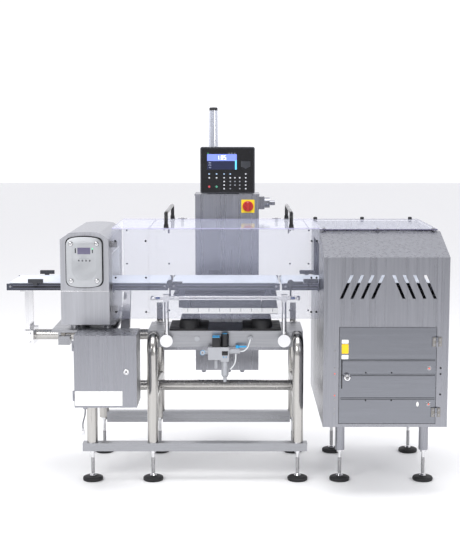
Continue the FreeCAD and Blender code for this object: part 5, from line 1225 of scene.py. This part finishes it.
@dataclass
class RejectCabinet(SubAssembly):
    """The slotted cabinet with its folded door, lock, hinges, cover and bin."""

    folds: tuple[float, float, float] = (0.655, 0.5, 0.255)
    lip: float = 6.0

    def build(self) -> None:
        """Dresses the sheet metal and adds the door folds, cover edges and fittings."""
        self.dress(Finishes.WALL, "cabinet_housing")
        self.dress(Finishes.DOOR, "cabinet_door")
        self.dress(Finishes.LEVEL, "reject_bin", "pusher_head")
        self.dress(Finishes.BLACK, "pusher_cylinder")
        self.door()
        self.lock()
        self.hinges()
        self.cover()
        self.fittings()

    def door(self) -> None:
        """Three horizontal folds with a strip of painted shade under each, and small screws on the door."""
        door = Span("cabinet_door")
        left, right = 526.5, 954.5
        low, high = door.bottom, door.top
        face = -530.0
        skin = Shape(Finishes.PAINTED_SHADE)
        for share in self.folds:
            z = low + (high - low) * share
            # painted shade in the crease under each fold
            skin.use(Finishes.PAINTED_SHADE).block((left + 8, face - 0.9, z - 1.2), (right - 4, face + 0.3, z + 1.6), 0.2)
            skin.use(Finishes.DOOR).block((left + 8, face - 2.2, z + 1.4), (right - 4, face + 0.3, z + 7.4), 0.8)
        for dx, dz in ((118, 230), (232, 230), (118, 105), (232, 105)):
            skin.use(Finishes.BLACK_STEEL).screw((left + dx, face - 0.3, low + dz), Axis.FRONT, 3.4, 1.6)
        for dz in (250, 88):
            skin.use(Finishes.STEEL).lathe([(0, 0), (10, 0), (10, 1.5), (8.5, 2.6), (0, 2.6)],
                                           (right - 30, face, low + dz), Axis.FRONT)
            skin.use(Finishes.LAMP_RED).lathe([(0, 2.4), (3, 2.4), (3, 3.1), (0, 3.1)],
                                              (right - 30, face, low + dz), Axis.FRONT)
        skin.use(Finishes.PLATE_WHITE).prism(
            [(right - 79 + 5.5 * math.cos(a), low + 88 + 11 * math.sin(a))
             for a in (2 * math.pi * k / 20 for k in range(20))], Axis.Y, face - 0.5, face + 0.2)
        for z0, z1, finish in ((361, 378, Finishes.PLATE_WHITE), (316, 358, Finishes.PLATE_YELLOW),
                               (290, 310, Finishes.PLATE_WHITE)):
            skin.use(finish).prism(rounded(rectangle(left + 10, left + 40, low + z0, low + z1), 3), Axis.Y,
                                   face - 1.4, face - 0.2)
        skin.use(Finishes.GLOSS_BLACK).block((left + 9, face - 2.6, low + 158), (left + 14, face + 0.2, low + 288), 1.2)
        skin.piece("cabinet_door_folds", "cabinet_door_body", "brushed_stainless")

    def lock(self) -> None:
        """The ring lock with its key insert."""
        span = Span("door_lock")
        x, z, face, r = span.mid.x, span.mid.z, span.front + 2, span.size.x / 2
        lock = Shape(Finishes.CHROME)
        lock.lathe([(0, 0), (r * 0.5, 0), (r * 0.55, 2), (r * 0.8, 3), (r, 8), (r, span.size.y * 0.72),
                    (r * 0.6, span.size.y * 0.72), (r * 0.6, span.size.y), (0, span.size.y)],
                   (x, face, z), Axis.Y, 36)
        # painted shade in the keyhole: a near-black disc
        lock.use(Finishes.PAINTED_SHADE).lathe([(0, 0), (r * 0.42, 0), (r * 0.42, 0.5), (0, 0.5)], (x, face, z), Axis.FRONT)
        lock.use(Finishes.CHROME).block((x - r * 0.36, face - 1.6, z - 1.4), (x + r * 0.36, face, z + 1.4), 0.4)
        lock.piece("door_lock_turned", "door_lock_body", "polished_steel", "door_lock")

    def hinges(self) -> None:
        """Screw heads on the cast hinges: those on the leaf turn with the door."""
        for name, body, sign in (("door_hinge_screws", "cabinet_door_body", -1),
                                 ("frame_hinge_screws", self.body, 1)):
            heads = Shape(Finishes.CAST)
            for middle in (339 + 54, 776 - 66):
                half = 43 / 2
                x = 956.5 + sign * 12
                heads.use(Finishes.CAST).block((x - 8.5, -538.4, middle - half + 1), (x + 8.5, -535.5,
                                                                                 middle + half - 1), 1.2)
                for dz in (-11, 11):
                    heads.use(Finishes.STEEL).screw((x, -538.4, middle + dz), Axis.FRONT, 4.2, 1.6)
            heads.piece(name, body, "brushed_stainless")

    def cover(self) -> None:
        """The clear top sheet with violet edges, and its knobs and brackets."""
        span = Span("cabinet_cover")
        sheet = Shape(Finishes.CLEAR)
        before = set(sheet.mesh.faces)
        sheet.block(tuple(span.low), tuple(span.high), 0)
        # the upright edges take the violet tint drawn with painted shade
        for face in set(sheet.mesh.faces) - before:
            if abs(face.normal.z) < 0.5:
                sheet.use(Finishes.CLEAR_EDGE_SHADED)
                face.material_index = sheet.index
        for share in (0.03, 0.47, 0.92):
            x = span.left + span.size.x * share
            sheet.use(Finishes.BLACK).lathe([(0, 0), (9, 0), (10, 3), (10, 9), (7, 12), (0, 12)],
                                            (x, span.back - 22, span.top), segments=18)
        for share in (0.035, 0.49, 0.965):
            x = span.left + span.size.x * share
            sheet.use(Finishes.STEEL).block((x - 9, span.front + 1, span.top), (x + 9, span.front + 20,
                                                                             span.top + 2), 0.5)
            sheet.screw((x, span.front + 11, span.top + 2), Axis.Z, 5, 4)
        sheet.piece("cabinet_cover_clear", self.body, "clear_sheet", "cabinet_cover")

    def fittings(self) -> None:
        """Rivets and screws, two red lamps and a side knob."""
        span = Span("cabinet_housing")
        face = -530.0
        bits = Shape(Finishes.STEEL)
        for z in (700, 668, 590, 560, 448, 410, 385):
            bits.use(Finishes.STEEL).screw((507, face, z), Axis.FRONT, 4, 2)
        for z in (592, 565, 473):
            bits.use(Finishes.BLACK_STEEL).screw((975, face, z), Axis.FRONT, 4.4, 2)
        bits.use(Finishes.LAMP_RED)
        for z in (566, 468):
            bits.lathe([(0, 0), (2.4, 0), (2.4, 2.8), (0, 2.8)], (507, face, z), Axis.FRONT)
        bits.use(Finishes.BLACK).lathe([(0, 0), (6, 0), (6, 5), (0, 5)], (span.right, -300, 742), Axis.LEFT)
        bits.piece("cabinet_rivets", self.body, "polished_steel")


@dataclass
class OperatorColumn(SubAssembly):
    """The rear cabinet with its switch, terminal and beacon."""

    columns: tuple[float, ...] = (45, 82.5, 120.6, 151.8, 175.4, 199.6, 230.2)
    rows: tuple[float, ...] = (135.8, 155.1, 173.8, 191.9, 210)

    def build(self) -> None:
        """Dresses the column and builds its fittings."""
        self.dress(Finishes.WALL, "column_cabinet")
        self.dress(Finishes.BODY, "operator_terminal")
        self.terminal()
        self.switch()
        self.beacon()

    def terminal(self) -> None:
        """The display with its band and bar, and the printed keys."""
        span = Span("operator_terminal")
        left, top, face = span.left, span.top, span.front
        panel = Shape(Finishes.GLOSS_BLACK)

        def flat(finish: Finish, x0: float, x1: float, down0: float, down1: float, proud: float = 0.8,
                 corner: float = 1.0) -> None:
            """Lays a thin rounded print, measured right and down from the panel's corner."""
            outline = rectangle(left + x0, left + x1, top - down1, top - down0)
            panel.use(finish).prism(rounded(outline, corner), Axis.Y, face - proud, face + 0.2)

        flat(Finishes.GLOSS_BLACK, 6, 270, 6, 229, 0.4, 6)
        flat(Finishes.SCREEN, 34.6, 184.6, 35.7, 113.2)
        flat(Finishes.SCREEN_BAND, 34.6, 184.6, 35.7, 70, 1.0)
        flat(Finishes.SCREEN_BAR, 176, 184.6, 66.8, 113.2, 1.2)
        panel.use(Finishes.DIGIT).digits("1.85", left + 84, face - 1.1, top - 63, 20)
        for row, text in enumerate(("482", "076", "150")):
            panel.use(Finishes.DIGIT_GREY).digits(text, left + 42, face - 0.9, top - 82 - 12 * row, 6)
        for x, finish in ((39.2, Finishes.LAMP_GREEN), (146, Finishes.KEY), (160, Finishes.KEY), (175, Finishes.KEY)):
            flat(finish, x - 1.5, x + 1.5, 29.6, 32.6)
        for column, x in enumerate(self.columns):
            for row, down in enumerate(self.rows):
                if (row == 0 and column in (4, 5)) or (row > 1 and column < 2) or (row == 4 and column == 4):
                    continue
                finish = Finishes.KEY_BLUE if row == 0 and column < 4 else \
                    Finishes.KEY if column in (2, 6) or row == 1 else Finishes.KEY_GREY
                flat(finish, x - 3.6, x + 3.6, down - 3, down + 3, 0.7)
        for x, finish in ((45, Finishes.KEY_RED), (82.5, Finishes.KEY_GREEN)):
            diamond = [(left + x + 7 * dx, top - 200.4 + 7 * dz) for dx, dz in ((-1, 0), (0, -1), (1, 0), (0, 1))]
            panel.use(finish).prism(diamond, Axis.Y, face - 0.7, face + 0.2)
        flap = [(205.4, 70.8), (253.9, 70.8), (253.9, 98), (229.6, 110.4), (205.4, 98)]
        panel.use(Finishes.BODY).prism([(left + x, top - down) for x, down in flap], Axis.Y, face - 2, face + 0.2, 0.6)
        panel.piece("terminal_panel", self.body, "black_plastic")

    def switch(self) -> None:
        """The yellow plate with its dark ring, and the red knob with an upright grip."""
        span = Span("isolator_knob")
        x, z, base, reach = span.mid.x, span.mid.z, span.back + 2, span.size.x / 2
        plate = Shape(Finishes.YELLOW)
        plate.prism(rounded(rectangle(x - 33.5, x + 33.5, z - 33.5, z + 33.5), 4), Axis.Y, base - 3.2, base - 1.6)
        plate.use(Finishes.INK).lathe([(0, 0), (27, 0), (27, 0.8), (0, 0.8)], (x, base - 3.2, z), Axis.FRONT, 36)
        plate.piece("switch_plate_yellow", self.body, "red_plastic")
        knob = Shape(Finishes.RED)
        depth = span.size.y
        knob.lathe([(0, 0), (reach, 0), (reach, 7), (reach - 3, 10), (0, 10)], (x, span.back, z), Axis.FRONT, 36)
        knob.block((x - 5.5, span.back - depth, z - reach + 1), (x + 5.5, span.back - 9, z + reach - 1), 2)
        knob.use(Finishes.WHITE).block((x - 1, span.back - depth - 0.4, z + reach - 9),
                                       (x + 1, span.back - depth + 0.5, z + reach - 3), 0.2)
        knob.piece("isolator_knob_grip", "isolator_knob_body", "red_plastic", "isolator_knob")

    def beacon(self) -> None:
        """A polished mast with a black cap inside a clear flared sleeve."""
        span = Span("beacon")
        x, y, height = span.mid.x, span.mid.y, span.size.z
        mast = Shape(Finishes.BLACK)
        foot = span.size.x / 2
        mast.lathe([(0, 0), (foot, 0), (foot, 9), (foot - 4, 12), (0, 12)], (x, y, span.bottom))
        mast.use(Finishes.CHROME).lathe([(0, 12), (foot * 0.55, 12), (foot * 0.55, height - 16), (0, height - 16)],
                                        (x, y, span.bottom), segments=36)
        mast.use(Finishes.SLEEVE).lathe([(foot * 0.72, 12), (foot * 0.72, height * 0.5), (foot * 0.58, height - 16)],
                                        (x, y, span.bottom), segments=36)
        cap = foot * 0.6
        mast.use(Finishes.BLACK).lathe([(0, height - 16), (cap, height - 16), (cap, height - 4),
                                        (cap * 0.8, height - 1), (0, height)], (x, y, span.bottom), segments=30)
        mast.piece("beacon_mast", self.body, "beacon_lens", "beacon")


@dataclass
class WeighTable(SubAssembly):
    """The weigh cell, its carrier and scale, and the sensor rods above it."""

    marks: int = 9

    def build(self) -> None:
        """Dresses the weigh table's nodes and adds the scale marks and rod fittings."""
        self.dress(Finishes.BODY, "load_cell", "photocells", "weigh_base")
        self.dress(Finishes.CHROME, "sensor_rail")
        self.dress(Finishes.RAIL, "weigh_carrier")
        self.dress(Finishes.RUBBER, "weigh_isolators")
        self.dress(Finishes.PLATE_WHITE, "guide_scale")
        scale, rail = Span("guide_scale"), Span("sensor_rail")
        bits = Shape(Finishes.INK)
        for k in range(self.marks):
            x = scale.left + scale.size.x * (k + 0.5) / self.marks
            bits.use(Finishes.INK).block((x - 1, scale.front - 0.4, scale.bottom + scale.size.z * 0.35),
                                         (x + 1, scale.front + 0.2, scale.top - 1), 0)
        for x, turn in ((rail.left, Axis.LEFT), (rail.right, Axis.X)):
            inward = -turn.vector.x
            bits.use(Finishes.CHROME).lathe([(0, 0), (9, 2), (12, 9), (9, 16), (0, 18)],
                                            (x + inward * 18, -170, 853.5), turn, 24)
            bits.use(Finishes.DARK_BLUE).lathe([(6.2, 0), (7.2, 0), (7.2, 20), (6.2, 20)],
                                               (x + inward * 44, -170, 853.5), turn)
        base = Span("weigh_base")
        bits.use(Finishes.LAMP_GREEN).block((70, base.front - 0.8, base.top - 12), (84, base.front, base.top - 7), 0.3)
        bits.piece("weigh_marks", self.body, "white_plastic")


@dataclass
class AirUnit(SubAssembly):
    """The air preparation unit and its hoses."""

    def build(self) -> None:
        """Dresses the air unit's nodes and adds the caps, display and elbow ring."""
        self.dress(Finishes.GREY, "air_unit")
        self.dress(Finishes.HOSE, "air_hoses")
        self.dress(Finishes.BLACK, "regulator_knob")
        self.dress(Finishes.BLUE, "shutoff_lever")
        x, y, top, face = 17.0, -182.0, 624.0, -204.0
        bits = Shape(Finishes.BLACK)
        bits.block((-42.6, face - 0.6, top), (-6.4, -159.4, top + 46), 1.5)
        bits.use(Finishes.BLUE).block((-42.2, face - 0.4, top + 46), (-6.8, -159.6, top + 50.6), 1)
        bits.use(Finishes.GLOSS_BLACK).block((x - 14, face - 1, top - 38), (x + 14, face + 0.2, top - 18), 0.6)
        for dx in (-6, 6):
            bits.use(Finishes.BLUE).block((x + dx - 3, face - 1.2, top - 48), (x + dx + 3, face + 0.2, top - 43), 0.5)
        bits.use(Finishes.BLUE).lathe([(10, 0), (11.4, 0), (11.4, 5), (10, 5)], (-88, -197, 598), Axis.FRONT, 30)
        bits.use(Finishes.BLUE).lathe([(0, 0), (6, 0), (6, -7), (0, -7)], (x, y, Span("air_unit").bottom + 6.5))
        bits.piece("air_unit_caps", self.body, "blue_plastic")
        knob = Span("regulator_knob")
        ring = Shape(Finishes.BLUE)
        ring.lathe([(0, 0), (11, 0), (11, 1.2), (0, 1.2)], (knob.mid.x, knob.mid.y, knob.top), segments=30)
        ring.piece("regulator_knob_top", "regulator_knob_body", "blue_plastic")


@dataclass
class InfeedFittings(SubAssembly):
    """The support plates and clamps under the infeed."""

    def build(self) -> None:
        """Dresses the infeed support."""
        self.dress(Finishes.CHROME, "infeed_support")


# ---------------------------------------------------------------- main


def plain(box: Sequence[Point]) -> list[list[float]]:
    """A box's corners as plain lists."""
    return [[float(v) for v in corner] for corner in box]


def main() -> None:
    """Loads the frame, measures its bounds and builds each sub-assembly in order."""
    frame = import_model()
    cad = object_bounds()
    cad = plain(cad)
    logging.basicConfig(level=logging.INFO, format="%(message)s")
    scene = bpy.context.scene
    scene.view_settings.view_transform = "Standard"
    Studio().build()
    for assembly in (Stand(frame), ConveyorLine(frame), DetectorHead(frame), ControlBox(frame), Guards(frame),
                     RejectCabinet(frame), OperatorColumn(frame), WeighTable(frame), AirUnit(frame),
                     InfeedFittings(frame)):
        assembly.build()
        LOG.info("built %s", type(assembly).__name__)
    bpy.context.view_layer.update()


if __name__ == "__main__":
    main()
